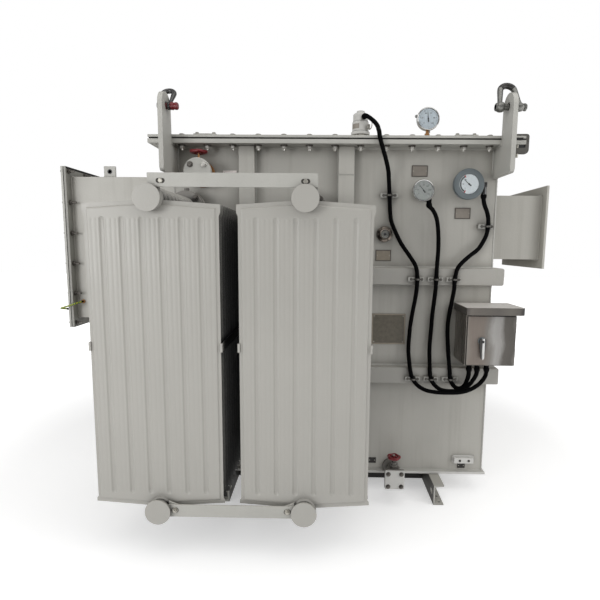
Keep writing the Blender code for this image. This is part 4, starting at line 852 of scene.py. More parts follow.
def slotOutline(x, z, half, radius):
    return [(x + (half if math.cos(a) > 0 else -half) + radius * math.cos(a), z + radius * math.sin(a))
            for a in turnsOf(24, 0.5)]


def channelOutline(web, tip, way):
    # a channel's section across (distance, height); way points from its web to its lips
    thick, lip, height = base["thick"] * way, base["lipThick"], base["height"]
    taper = 0.0025
    return [(web, 0), (tip, 0), (tip, lip - taper), (web + thick * 1.8, lip + taper * 0.4),
            (web + thick, lip + 0.006), (web + thick, height - lip - 0.006),
            (web + thick * 1.8, height - lip - taper * 0.4), (tip, height - lip + taper), (tip, height),
            (web, height)]


def makeSkid(name, edge):
    shape = bmesh.new()
    web, tip = edge * base["web"], edge * (base["web"] + base["flange"])
    addPlate(shape, channelOutline(web, tip, edge), -base["reach"], base["reach"], "Y", 0.001)
    tool = bmesh.new()
    along, *slot = base["slot"]
    line = edge * base["holeLine"]
    for flip in (-1, 1):
        addPlate(tool, slotOutline(flip * along, *slot), web - 0.02, web + 0.02, "X")
        for y in base["holes"]:
            addRod(tool, (line, flip * y, -0.01), (line, flip * y, 0.012), base["holeRadius"], 16)
    shape = carve(shape, tool)
    finishPiece(f"{name}_channel", shape, "steelwork", replaces=name)
    # the web's outer side, always in the tank's shade
    shade, holes = bmesh.new(), bmesh.new()
    near = sorted((web - edge * 0.0004, web + edge * 0.0002))
    addBox(shade, (near[0], -base["reach"] + 0.003, 0.004),
           (near[1], base["reach"] - 0.003, base["height"] - 0.001))
    for flip in (-1, 1):
        addPlate(holes, slotOutline(flip * along, *slot), web - 0.01, web + 0.01, "X")
    finishPiece(f"{name}_shade", carve(shade, holes), "shadePaint")


def makeCrossMember(name, edge):
    shape = bmesh.new()
    web, tip = edge * base["cross"], edge * (base["cross"] - base["flange"])
    reach = base["web"] - seatGap
    addPlate(shape, channelOutline(web, tip, -edge), -reach, reach, "X", 0.001)
    for end in (-1, 1):
        for z in (0.006, 0.094):
            addWeld(shape, (end * (reach - 0.002), web, z), (end * (reach - 0.002), tip, z), 0.003)
    finishPiece(f"{name}_channel", shape, "crossShade", replaces=name)


makeBasePlate()
for name, edge in (("skid_left", -1), ("skid_right", 1)):
    makeSkid(name, edge)
for name, edge in (("cross_member_front", -1), ("cross_member_rear", 1)):
    makeCrossMember(name, edge)
print("base made")


# Radiator banks: pressed panels hung on two headers
bank = {
    "halfWidth": 0.255, "sideInset": 0.006, "count": 10, "pitch": 0.045, "front": -0.975, "half": 0.0060,
    "seam": 0.0008, "topFlange": 0.015, "sideFlange": 0.0105, "slope": 0.0048,
    "lowPeak": 0.211, "lowShoulder": 0.229, "highPeak": 1.407, "highShoulder": 1.389,
    "grooveFoot": 0.275, "grooveTop": 1.334, "finePitch": 0.01825,
    "mainDepth": 0.0036, "mainHalf": 0.0078, "mainSoft": 0.0030, "fineDepth": 0.0006, "fineHalf": 0.0034,
    "fineSoft": 0.0034,
    "endDepth": 0.6,
    "bandFoot": 0.246, "bandTop": 1.352,
    "headerRadius": 0.038, "capFront": -1.014, "capRadius": 0.050, "capThick": 0.010,
    "mouth": tank["flangeFace"] - seatGap, "valve": 0.040, "flangeRadius": 0.080, "boltCircle": 0.066,
    "strapFoot": 0.838, "strapTop": 0.872, "bracket": 0.044, "bracketHeight": 0.088,
    "bracketPlane": (-0.9917, -0.9857),
}


def smoothStep(low, high, value):
    t = max(0.0, min(1.0, (value - low) / (high - low)))
    return t * t * (3 - 2 * t)


def panelEdges(u):
    # heights of the panel's lower and upper edge at the distance u from its middle
    share = min(1.0, abs(u) / bank["halfWidth"])
    low = bank["lowPeak"] + (bank["lowShoulder"] - bank["lowPeak"]) * share
    high = bank["highPeak"] + (bank["highShoulder"] - bank["highPeak"]) * share
    return low, high


def panelRelief(u, z):
    # how far the pressed sheet stands out of the seam's plane
    low, high = panelEdges(u)
    inside = bank["halfWidth"] - bank["sideInset"] - abs(u)
    rise = min(
        smoothStep(bank["sideFlange"], bank["sideFlange"] + bank["slope"], inside),
        smoothStep(bank["topFlange"], bank["topFlange"] + bank["slope"], min(z - low, high - z)),
    )
    full = bank["half"] - bank["seam"]
    foot, top = bank["grooveFoot"], bank["grooveTop"]
    past = max(0.0, z - top, foot - z)
    cut = 0.0
    lines = round(u / bank["finePitch"])
    for k in (lines - 1, lines, lines + 1):
        if abs(k) > 13:
            continue
        off = u - k * bank["finePitch"]
        kind = "main" if k % 4 == 2 else "fine"
        depth, half, soft = bank[f"{kind}Depth"], bank[f"{kind}Half"], bank[f"{kind}Soft"]
        # a groove with round ends, a little deeper where it starts
        away = math.hypot(off, past)
        cut += depth * (1 - smoothStep(half - soft, half + soft, away))
        for end in (foot + half, top - half):
            cut += bank["endDepth"] * depth * math.exp(-(off * off + (z - end) ** 2) / (half * half))
    return bank["seam"] + rise * (full - min(cut, full))


def panelRows(fine):
    foot, top = bank["grooveFoot"], bank["grooveTop"]
    if fine:
        near = [k * 0.0022 for k in range(-6, 7)]
        middle = [foot + k for k in near] + [0.42, 0.62, 0.84, 1.06, 1.22] + [top + k for k in near]
        rims = [0.0, 0.0075, 0.015, 0.0160, 0.0170, 0.0182, 0.0198, 0.025, 0.030]
    else:
        middle = [foot - 0.006, foot + 0.006, 0.84, top - 0.006, top + 0.006]
        rims = [0.0, 0.015, 0.0198, 0.030]
    return rims, middle


def panelColumns(fine):
    reach = bank["halfWidth"] - bank["sideInset"]
    if fine:
        inner = [k * bank["finePitch"] / 8 for k in range(-104, 105)]
        edges = [0.0, 0.0052, 0.0105, 0.0115, 0.0126, 0.0137, 0.0153]
    else:
        inner = [k * bank["finePitch"] / 2 for k in range(-26, 27)]
        edges = [0.0, 0.0105, 0.0153]
    inner = {u for u in inner if abs(u) < reach - 0.0158}
    return sorted({-reach + e for e in edges} | {reach - e for e in edges} | inner)


def sheetPoints(place, middleY, way, fine):
    rims, middle = panelRows(fine)
    grid = []
    for u in panelColumns(fine):
        low, high = panelEdges(u)
        between = [z for z in middle if low + 0.0305 < z < high - 0.0305]
        levels = [low + r for r in rims] + between + [high - r for r in reversed(rims)]
        column = []
        for z in levels:
            spread = (1 - smoothStep(bank["bandFoot"] - 0.004, bank["bandFoot"] + 0.004, z)
                      + smoothStep(bank["bandTop"] - 0.004, bank["bandTop"] + 0.004, z))
            x = u + math.copysign(spread * bank["sideInset"] * smoothStep(0.236, 0.248, abs(u)), u)
            column.append((place + x, middleY + way * panelRelief(u, z), z))
        grid.append(column)
    return grid


def addSheet(shape, grid):
    rows = [[shape.verts.new(point) for point in column] for column in grid]
    for near, far in zip(rows, rows[1:]):
        for k in range(len(near) - 1):
            shape.faces.new((near[k], far[k], far[k + 1], near[k + 1]))
    return rows[0] + [row[-1] for row in rows[1:-1]] + rows[-1][::-1] + [row[0] for row in rows[-2:0:-1]]


def addPanel(shape, place, middleY, fine):
    # two pressed sheets joined round their edge; fine is for the panel that is seen from the front
    front = addSheet(shape, sheetPoints(place, middleY, -1, fine))
    rear = addSheet(shape, sheetPoints(place, middleY, 1, fine))
    for k in range(len(front)):
        after = (k + 1) % len(front)
        shape.faces.new((front[k], front[after], rear[after], rear[k]))


def panelMiddle(k):
    # depth of the middle of the panel that is k places behind the front one
    return bank["front"] + bank["half"] + k * bank["pitch"]


def makePanels(prefix, side, word, place):
    front = bmesh.new()
    addPanel(front, place, panelMiddle(0), True)
    finishPiece(f"{prefix}_radiator_{word}_outer_panel", front, "panelPaint", side=side, sharp=55,
                replaces=f"{prefix}_radiator_{word}")
    row = bmesh.new()
    for k in range(1, bank["count"]):
        addPanel(row, place, panelMiddle(k), False)
    # the panels behind the front one take the shaded copy of its paint
    finishPiece(f"{prefix}_radiator_{word}_panels", row, "shadedPanelPaint", side=side, sharp=55)


def addHeader(face, pipe, place, level):
    front, radius, thick = bank["capFront"], bank["capRadius"], bank["capThick"]
    addTurned(face, (place, front, level), toRear, [
        (radius - 0.0022, 0), (radius - 0.0006, 0.0006), (radius, 0.0022), (radius, 0.0034),
    ], 96)
    addTurned(pipe, (place, front + 0.0034, level), toRear, [
        (radius - 0.0004, 0), (radius - 0.0004, thick - 0.0044), (radius - 0.0014, thick - 0.0034),
    ], 56)
    addRod(pipe, (place, bank["mouth"], level), (place, front + 0.006, level), bank["headerRadius"], 36)
    for k in range(bank["count"]):
        addTurned(pipe, (place, panelMiddle(k) - 0.0135, level), toRear, [
            (0.040, 0), (0.0445, 0.0035), (0.047, 0.0085), (0.047, 0.0185), (0.0445, 0.0235),
            (0.040, 0.027),
        ], 36)


def addValve(shape, bolts, place, level, lever):
    mouth = bank["mouth"]
    radius = bank["flangeRadius"]
    addTurned(shape, (place, mouth, level), toFront, [
        (radius - 0.002, 0), (radius, 0.002), (radius, 0.011), (radius - 0.002, 0.013), (0.060, 0.013),
        (0.060, 0.027),
        (radius - 0.002, 0.027), (radius, 0.029), (radius, 0.038), (radius - 0.002, bank["valve"]),
    ], 40)
    for turn in turnsOf(4, 0.5):
        x, z = place + bank["boltCircle"] * math.cos(turn), level + bank["boltCircle"] * math.sin(turn)
        addBolt(bolts, (x, mouth - bank["valve"], z), toFront, 0.0105, 0.009, stud=0.006)
        addBolt(bolts, (x, mouth + 0.016, z), toRear, 0.0105, 0.009)
    if lever:
        top, y = level + radius, mouth - bank["valve"] / 2
        addRod(shape, (place, y, top - 0.022), (place, y, top + 0.012), 0.009, 16, 0.001)
        addBox(shape, (place - 0.010, y - 0.007, top - 0.004), (place + 0.010, y + 0.007, top + 0.012),
               0.001)


def addEdgeStraps(shape, hooks, place):
    rear = bank["front"] + bank["pitch"] * (bank["count"] - 1) + 0.012
    inner = bank["halfWidth"] - bank["sideInset"]
    for edge in (-1, 1):
        x = sorted((place + edge * inner, place + edge * (inner + 0.006)))
        addBox(shape, (x[0], bank["front"] + 0.008, bank["strapFoot"]),
               (x[1] - 0.0004, rear, bank["strapTop"]), 0.001)
        hook = sorted((place + edge * (inner - 0.003), place + edge * (inner + 0.006)))
        addBox(hooks, (hook[0], bank["front"] - 0.0002, bank["strapFoot"]),
               (hook[1], bank["front"] + 0.008, bank["strapTop"]), 0.001)


def makeHeaders(prefix, side, word, place):
    face, pipe, shape, bolts = bmesh.new(), bmesh.new(), bmesh.new(), bmesh.new()
    for level in tank["levels"]:
        addHeader(face, pipe, place, level)
        addValve(shape, bolts, place, level, level == tank["levels"][1])
    straps, hooks = bmesh.new(), bmesh.new()
    addEdgeStraps(straps, hooks, place)
    top = tank["levels"][1]
    wide, tall = bank["bracket"], bank["bracketHeight"]
    addPlate(face, [(place, top), (place + wide, top), (place + wide, top + tall - 0.008),
                    (place + wide - 0.008, top + tall), (place, top + tall)], *bank["bracketPlane"], "Y",
             0.001)
    # painted shade: the headers and straps take the shaded panel paint, the valves and their bolts shaded
    # copies of the steelwork and the bolt metal
    for part, made, finish in (
        ("discs", face, "panelPaint"), ("headers", pipe, "shadedPanelPaint"), ("valves", shape, "shadedSteelwork"),
        ("straps", straps, "shadedPanelPaint"), ("hooks", hooks, "panelPaint"),
    ):
        finishPiece(f"{prefix}_radiator_{word}_{part}", made, finish, side=side)
    finishPiece(f"{prefix}_radiator_{word}_bolts", bolts, "shadedBolt", side=side)


for prefix, side in sides:
    for word, place in zip(("left", "right"), tank["banks"]):
        makePanels(prefix, side, word, place)
        makeHeaders(prefix, side, word, place)

ties = {
    "plane": (-0.998, -0.992), "foot": 1.4473, "top": 1.4973, "boltLevel": 1.4690, "inset": 0.048,
    "lowFoot": 0.184, "lowTop": 0.234, "lowBoltLevel": 0.212, "lowInset": 0.064,
    "tab": ((0, 0.190), (0.046, 0.196), (0.050, 0.226), (0, 0.246)),
}


def makeTieBars(prefix, side):
    near, far = ties["plane"]
    left, right = tank["banks"]
    level = ties["boltLevel"]
    bar, tool, pocket = bmesh.new(), bmesh.new(), bmesh.new()
    addBox(bar, (left, near, ties["foot"]), (right + bank["bracket"], far, ties["top"]), 0.0012)
    for x in (left + ties["inset"], right):
        addPlate(tool, slotOutline(x, level, 0.0075, 0.0090), near - 0.01, far + 0.01, "Y")
        addPlate(pocket, slotOutline(x, level, 0.0075, 0.0087), near + 0.0035, far, "Y")
    bar = carve(bar, tool)
    finishPiece(f"{prefix}_top_tie_bar_flat", bar, "steelwork", side=side, replaces=f"{prefix}_top_tie_bar")
    low = bmesh.new()
    radius = bank["headerRadius"] + seatGap
    addBox(low, (left + radius, near, ties["lowFoot"]), (right - radius, far, ties["lowTop"]), 0.0012)
    for edge, place in ((1, left), (-1, right)):
        reach = place + edge * radius
        addPlate(low, [(reach + edge * out, z) for out, z in ties["tab"]], far, far + 0.006, "Y", 0.001)
    finishPiece(f"{prefix}_bottom_tie_bar_flat", low, "steelwork", side=side,
                replaces=f"{prefix}_bottom_tie_bar")
    bolts = bmesh.new()
    for x in (left + ties["inset"], right):
        addBolt(bolts, (x, near + 0.003, level), toFront, 0.0088, 0.006, washer=False)
    lowLevel = ties["lowBoltLevel"]
    for x in (left + ties["lowInset"], right - ties["lowInset"]):
        addPlate(pocket, slotOutline(x, lowLevel, 0.0035, 0.0110), near - 0.0006, near, "Y")
        addBolt(bolts, (x, near - 0.0006, lowLevel), toFront, 0.0085, 0.006, stud=0.003)
    # a dark backing in the slots: painted shade of their depth
    finishPiece(f"{prefix}_tie_bar_slots", pocket, "inside", side=side)
    finishPiece(f"{prefix}_tie_bar_bolts", bolts, "zincBolt", side=side)


for prefix, side in sides:
    makeTieBars(prefix, side)
print("radiators made")


# Lifting lugs and their shackles
lug = {"place": 0.751, "thick": 0.020, "outer": -0.650, "inner": -0.5373, "foot": 1.560, "crown": 1.843,
       "corner": 0.014, "eyeLevel": 1.8445, "eye": 0.0165, "edge": 0.0028, "top": wallTop - seatGap,
       "weldTop": 1.6975}
lugEye = (lug["outer"] + lug["inner"]) / 2


def arcPoints(centre, radius, start, end, count):
    return [(centre[0] + radius * math.cos(start + (end - start) * k / count),
             centre[1] + radius * math.sin(start + (end - start) * k / count)) for k in range(count + 1)]


def makeLug(name, side, place):
    outer, inner, corner = lug["outer"], lug["inner"], lug["corner"]
    turn = arcPoints((outer + corner, lug["foot"] + corner), corner, -math.pi / 2, -math.pi, 8)
    top = arcPoints((lugEye, lug["crown"]), (inner - outer) / 2, math.pi, 0, 28)
    outline = [(wallFront - seatGap, lug["foot"]), *turn, *top, (inner, lug["top"]),
               (wallFront - seatGap, lug["top"])]
    half = lug["thick"] / 2
    shape = bmesh.new()
    addPlate(shape, outline, place - half, place + half, "X", lug["edge"])
    tool = bmesh.new()
    addRod(tool, (place - 0.03, lugEye, lug["eyeLevel"]), (place + 0.03, lugEye, lug["eyeLevel"]),
           lug["eye"], 40)
    shape = carve(shape, tool)
    for edge in (-1, 1):
        x = place + edge * (half + 0.001)
        addWeld(shape, (x, wallFront - 0.0015, lug["foot"]),
                (x, wallFront - 0.0015, lug["weldTop"] + 0.0005), 0.0045, toRear)
        addWeld(shape, (x, wallFront - 0.004, lug["weldTop"]), (x, inner, lug["weldTop"]), 0.004)
    finishPiece(f"{name}_plate", shape, "steelwork", side=side, replaces=name)


for prefix, side in sides:
    for word, edge in (("left", -1), ("right", 1)):
        makeLug(f"{prefix}_lifting_lug_{word}", side, edge * lug["place"])

shackles = {
    "pin": 0.013, "head": 0.0165, "height": 0.118, "level": 1.8413,
    "left": {"lean": 42, "inside": (-0.0160, 0.0165), "ear": 0.0115, "earRadius": 0.0165, "bar": 0.007,
             "crown": 0.0255, "fat": 0.60, "span": (-0.029, 0.0600), "heads": ((0.0285, 0.0630),),
             "bow": "darkPaint", "bowSlot": "dark_paint", "pinFinish": "redEnamel", "pinSlot": "red_paint"},
    "right": {"lean": 27, "inside": (-0.0315, 0.0245), "ear": 0.028, "earRadius": 0.0215, "bar": 0.010,
              "crown": 0.031, "fat": 0.27, "span": (-0.066, 0.066),
              "heads": ((-0.066, -0.060), (0.053, 0.066)), "bow": "galvanised",
              "bowSlot": "galvanised_steel", "pinFinish": "galvanised", "pinSlot": "galvanised_steel"},
}


def addEar(shape, x, way, own, word):
    # the eye that the pin runs through: a rounded boss
    ear, radius, bore = own["ear"], own["earRadius"], shackles["pin"] + 0.0004
    if word == "right":
        # swollen like a ball, flat where it meets the pin's head or nut
        radius *= 1.0 if way < 0 else 0.84
        stations = ((0.80, 0), (0.93, 0.10), (1, 0.32), (1, 0.62), (0.90, 0.88), (0.76, 1))
    else:
        stations = ((0.90, 0), (1, 0.12), (1, 0.88), (0.90, 1))
    profile = [(bore, 0), *[(radius * share, ear * along) for share, along in stations], (bore, ear)]
    addTurned(shape, (x, 0, 0), (way, 0, 0), profile, 36)


def makeShackle(word, edge):
    own = shackles[word]
    at = (frontSide @ Matrix.Translation((edge * lug["place"], lugEye, shackles["level"]))
          @ Matrix.Rotation(-math.radians(own["lean"]), 4, "X"))
    left, right = own["inside"]
    ear, bar, crown = own["ear"], own["bar"], own["crown"]
    middle, centre = (left + right) / 2, shackles["height"] - crown
    near, far = left - ear / 2, right + ear / 2
    foot = own["earRadius"] * 0.7
    route = [(far, 0, foot * 0.4), (far, 0, foot),
             (far * 0.5 + (middle + crown) * 0.5, 0, (foot + centre) * 0.5)]
    route += [(x, 0, z) for x, z in arcPoints((middle, centre), crown, 0.12, math.pi - 0.12, 12)]
    route += [(near * 0.5 + (middle - crown) * 0.5, 0, (foot + centre) * 0.5), (near, 0, foot),
              (near, 0, foot * 0.4)]
    route = curveThrough(route, 0.005)
    sizes = []
    for k, point in enumerate(route):
        rise = smoothStep(foot, centre + crown * 0.5, point[2])
        root = 1 - smoothStep(foot * 0.4, foot * 2.2, point[2])
        sizes.append(bar * (1.0 + own["fat"] * rise + 0.22 * root))
    bow = bmesh.new()
    addTube(bow, route, sizes, 20)
    if word == "right":
        crest = [k for k, point in enumerate(route) if point[2] > centre + crown * 0.30]
        shade = bmesh.new()
        addTube(shade, [route[k] for k in crest], [sizes[k] + 0.00025 for k in crest], 20)
        finishPiece("shackle_right_crown", shade, "crownSteel", "right_shackle", at)
    for x, way in ((left, -1), (right, 1)):
        addEar(bow, x, way, own, word)
    finishPiece(f"shackle_{word}_bow_forging", bow, own["bow"], f"{word}_shackle", at,
                f"shackle_{word}_bow", 40)
    pin = bmesh.new()
    start, end = own["span"]
    head = shackles["head"]
    addRod(pin, (start, 0, 0), (end, 0, 0), shackles["pin"] - seatGap, 28, 0.002)
    for low, high in own["heads"]:
        deep = high - low
        if word == "left":
            # a nut of two lobes, with a waist between them
            addTurned(pin, (low, 0, 0), toRight, [
                (head * 0.86, 0), (head, deep * 0.08), (head, deep * 0.34), (head * 0.86, deep * 0.44),
                (head * 0.86, deep * 0.54), (head * 0.97, deep * 0.64), (head * 0.95, deep * 0.86),
                (head * 0.74, deep * 0.97), (head * 0.4, deep),
            ], 28)
        else:
            count = 6 if low > 0 else 28      # a hexagon nut, or the pin's round head
            profile = [(head * 0.9, 0), (head, deep * 0.2), (head, deep * 0.8), (head * 0.86, deep)]
            addTurned(pin, (low, 0, 0), toRight, profile, count)
    finishPiece(f"shackle_{word}_bolt", pin, own["pinFinish"], f"{word}_shackle", at,
                f"shackle_{word}_pin")


makeShackle("left", -1)
makeShackle("right", 1)
print("lugs and shackles made")


# Throats on the end walls
throats = {
    "half": 0.220, "wall": 0.006, "lip": 0.047, "flange": 0.012, "root": halfLength + seatGap,
    "left": {"side": -1, "reach": 1.384, "foot": 0.843, "top": 1.593, "rows": 6, "columns": 4},
    "right": {"side": 1, "reach": 1.087, "foot": 1.180, "top": 1.510, "rows": 4, "columns": 4},
    "blankThick": 0.015, "bolt": 0.0105,
}


def addSleeve(shape, axis, start, end, outer, inner, edge=0.0):
    # a square tube along X or Y; outer and inner are (one side, other side, foot, top)
    rings = []
    for depth, (left, right, low, high) in ((start, outer), (end, outer), (end, inner), (start, inner)):
        ring = ((left, low), (right, low), (right, high), (left, high))
        rings.append([(depth, u, z) if axis == "X" else (u, depth, z) for u, z in ring])
    loops = skin(shape, rings, closed=True)
    softenEdges(shape, {e for ring in loops for v in ring for e in v.link_edges}, edge)


def flangeHoles(own):
    half = throats["half"] + throats["lip"] / 2
    low, high = own["foot"] - throats["lip"] / 2, own["top"] + throats["lip"] / 2
    rows, columns = own["rows"], own["columns"]
    found = [(y, low + (high - low) * k / (rows - 1)) for y in (-half, half) for k in range(rows)]
    found += [(-half + 2 * half * k / (columns - 1), z) for z in (low, high) for k in range(1, columns - 1)]
    return found


def makeThroat(word):
    own = throats[word]
    edge, half, wall, lip = own["side"], throats["half"], throats["wall"], throats["lip"]
    root, face = throats["root"] * edge, own["reach"] * edge
    shape = bmesh.new()
    outer = (-half, half, own["foot"], own["top"])
    inner = (wall - half, half - wall, own["foot"] + wall, own["top"] - wall)
    addSleeve(shape, "X", root, face + 0.002 * edge, outer, inner, 0.0015)
    rim = (-half - lip, half + lip, own["foot"] - lip, own["top"] + lip)
    plate = bmesh.new()
    addSleeve(plate, "X", face, face + throats["flange"] * edge, rim, inner, 0.0015)
    # the left flange takes the shaded copy of the grey paint, as its inner face is in shade
    finishPiece(f"{word}_throat_flange", plate, "shadedGreyPaint" if edge < 0 else "tankPaint")
    if edge < 0:
        # a dark strip along the flange's top edge: painted shade
        line = bmesh.new()
        addBox(line, (face - 0.0004, -half - lip + 0.004, rim[3] - 0.0115),
               (face + 0.0004, half + lip - 0.004, rim[3] - 0.0015))
        finishPiece("left_throat_flange_shade", line, "gasket")
    for x, size in ((root + 0.002 * edge, 0.005), (face - 0.001 * edge, 0.004)):
        for y in (-half - 0.001, half + 0.001):
            addWeld(shape, (x, y, own["foot"]), (x, y, own["top"]), size, toRear)
        for z in (own["foot"] - 0.001, own["top"] + 0.001):
            addWeld(shape, (x, -half, z), (x, half, z), size)
    finishPiece(f"{word}_throat_duct", shape, "tankPaint", replaces=f"{word}_throat")


def makeBlankPlate():
    own = throats["left"]
    half, lip = throats["half"] + throats["lip"], throats["lip"]
    near = -own["reach"] - throats["flange"] - seatGap
    seal = bmesh.new()
    addBox(seal, (near - 0.003, -half + 0.002, own["foot"] - lip + 0.002),
           (near, half - 0.002, own["top"] + lip - 0.002), 0.0008)
    finishPiece("left_throat_gasket", seal, "gasket")
    shape = bmesh.new()
    addBox(shape, (near - throats["blankThick"], -half, own["foot"] - lip),
           (near - 0.003, half, own["top"] + lip), 0.0018)
    finishPiece("left_throat_blank_sheet", shape, "steelwork", replaces="left_throat_blank_plate")


def makeFlangeBolts():
    shape = bmesh.new()
    own = throats["left"]
    for y, z in flangeHoles(own):
        addBolt(shape, (-own["reach"], y, z), toRight, throats["bolt"], 0.010, stud=0.022)
        addBolt(shape, (-own["reach"] - throats["flange"] - throats["blankThick"] - seatGap, y, z), toLeft,
                throats["bolt"], 0.0075)
    # the bolts on the flange's shaded inner face take the shaded copy of the bolt metal
    finishPiece("left_throat_bolts", shape, "shadedBolt")
    # the open flange's holes, lined with painted shade in their bores
    own = throats["right"]
    bores = bmesh.new()
    for y, z in flangeHoles(own):
        for x, way in ((own["reach"], -1), (own["reach"] + throats["flange"], 1)):
            addTurned(bores, (x + 0.0002 * way, y, z), (way, 0, 0),
                      [(0.0070, -0.004), (0.0078, -0.0006), (0.0070, -0.0004), (0.0058, -0.003)], 18)
    finishPiece("right_throat_hole_rims", bores, "inside")


makeThroat("left")
makeThroat("right")
makeBlankPlate()
makeFlangeBolts()

eyePlate = {"place": -1.180, "width": 0.062, "foot": 1.5933, "top": 1.649, "near": -0.212, "far": -0.204,
            "hole": 0.010, "level": 1.621}


def makeEyePlate():
    x, half, foot, top = eyePlate["place"], eyePlate["width"] / 2, eyePlate["foot"], eyePlate["top"]
    near, far, level = eyePlate["near"], eyePlate["far"], eyePlate["level"]
    radius = 0.003
    corners = arcPoints((x + half - radius, top - radius), radius, 0, math.pi / 2, 6)
    corners += arcPoints((x - half + radius, top - radius), radius, math.pi / 2, math.pi, 6)
    shape = bmesh.new()
    addPlate(shape, [(x - half, foot), (x + half, foot), *corners], near, far, "Y", 0.001)
    tool = bmesh.new()
    addRod(tool, (x, near - 0.01, level), (x, far + 0.01, level), eyePlate["hole"], 28)
    shape = carve(shape, tool)
    addWeld(shape, (x - half, near - 0.001, foot + 0.001), (x + half, near - 0.001, foot + 0.001), 0.0035)
    finishPiece("throat_eye_plate_tab", shape, "steelwork", replaces="throat_eye_plate")
    ring = bmesh.new()
    addTurned(ring, (x, near - 0.0004, level), toRear, [
        (0.0086, 0.0020), (0.0086, 0), (0.0128, 0), (0.0128, 0.0006), (0.0098, 0.0020), (0.0098, 0.0060),
        (0.0086, 0.0060), (0.0086, 0.0020),
    ], 28)
    finishPiece("throat_eye_plate_ring", ring, "gaugeDark")


makeEyePlate()

bushings = {"face": 0.7743, "level": 1.345, "pitch": 0.130, "length": 0.150, "stud": 0.010,
            "studLength": 0.060, "sheds": 5, "shedFoot": 0.026, "shedPitch": 0.024, "nutPlaces": (0, 0.028)}


def makeBushings():
    inset = throats["wall"] + seatGap
    half = throats["half"] - inset
    foot, top = throats["right"]["foot"] + inset, throats["right"]["top"] - inset
    board = bmesh.new()
    addBox(board, (throats["root"], -half, foot), (bushings["face"], half, top), 0.0015)
    # the board inside the throat takes the dark grey that stands in for its shade
    finishPiece("bushing_board", board, "inside")
    shape, metal = bmesh.new(), bmesh.new()
    for k in (-1, 0, 1):
        foot = (bushings["face"], k * bushings["pitch"], bushings["level"])
        profile = [(0.030, 0), (0.034, 0.004), (0.036, 0.014), (0.024, 0.022)]
        for shed in range(bushings["sheds"]):
            low = bushings["shedFoot"] + shed * bushings["shedPitch"]
            profile += [(0.021, low), (0.024, low + 0.004), (0.0345, low + 0.010), (0.036, low + 0.013),
                        (0.034, low + 0.015), (0.021, low + 0.020)]
        profile += [(0.019, bushings["length"] - 0.003), (0.016, bushings["length"])]
        addTurned(shape, foot, toRight, profile, 36)
        tip = (foot[0] + bushings["length"], foot[1], foot[2])
        addRod(metal, tip, (tip[0] + bushings["studLength"], tip[1], tip[2]), bushings["stud"], 20, 0.0015)
        for along in bushings["nutPlaces"]:
            addTurned(metal, (tip[0] + along, tip[1], tip[2]), toRight,
                      [(0.016, 0), (0.016, 0.010), (0.014, 0.012)], 6)
    finishPiece("low_voltage_insulators", shape, "porcelain", replaces="low_voltage_bushings")
    finishPiece("low_voltage_studs", metal, "brass")


makeBushings()
print("throats made")


# Clamps that grip the cover and the rim at the right end
clamp = {"outer": 0.8513, "reach": 0.050, "bar": 0.015, "finger": 0.009, "jaw": 0.026, "foot": 1.6595,
         "over": coverTop + seatGap, "line": -0.5245, "width": 0.014, "screw": 0.006, "screwFoot": 1.6445}


def makeClamp(name, side):
    outer, foot, over = clamp["outer"], clamp["foot"], clamp["over"]
    mouth, spine, tip = outer - clamp["reach"], outer + clamp["bar"], over + clamp["finger"]
    outline = [(mouth, foot + 0.004), (mouth + 0.004, foot),
               *arcPoints((spine - 0.017, foot + 0.017), 0.017, -math.pi / 2, 0, 8),
               *arcPoints((spine - 0.010, tip - 0.010), 0.010, 0, math.pi / 2, 6), (mouth + 0.003, tip),
               (mouth, tip - 0.003), (mouth, over), (outer, over), (outer, foot + clamp["jaw"]),
               (mouth, foot + clamp["jaw"])]
    shape = bmesh.new()
    half = clamp["width"] / 2
    addPlate(shape, outline, clamp["line"] - half, clamp["line"] + half, "Y", 0.0016)
    finishPiece(f"{name}_frame", shape, "clampSteel", side=side, replaces=name)
    pad = bmesh.new()
    addBox(pad, (mouth + 0.004, clamp["line"] - 0.004, foot + clamp["jaw"] - 0.001),
           (outer - 0.001, clamp["line"] + 0.004, rimFoot - 0.0004), 0.001)
    finishPiece(f"{name}_pad", pad, "markBlack", side=side)
    screw = bmesh.new()
    x, y, low = mouth + clamp["bar"], clamp["line"], clamp["screwFoot"]
    addRod(screw, (x, y, low), (x, y, rimFoot - seatGap), clamp["screw"], 18, 0.001)
    addTurned(screw, (x, y, rimFoot - 0.0085), toTop, [(0.0066, 0), (0.0068, 0.002), (0.0068, 0.008)], 20)
    finishPiece(f"{name}_screw", screw, "zincBolt", side=side)


for prefix, side in sides:
    makeClamp(f"{prefix}_cover_clamp", side)


# Pressure relief device on the cover
relief = {"place": (0.126, -0.330), "foot": coverTop + seatGap}


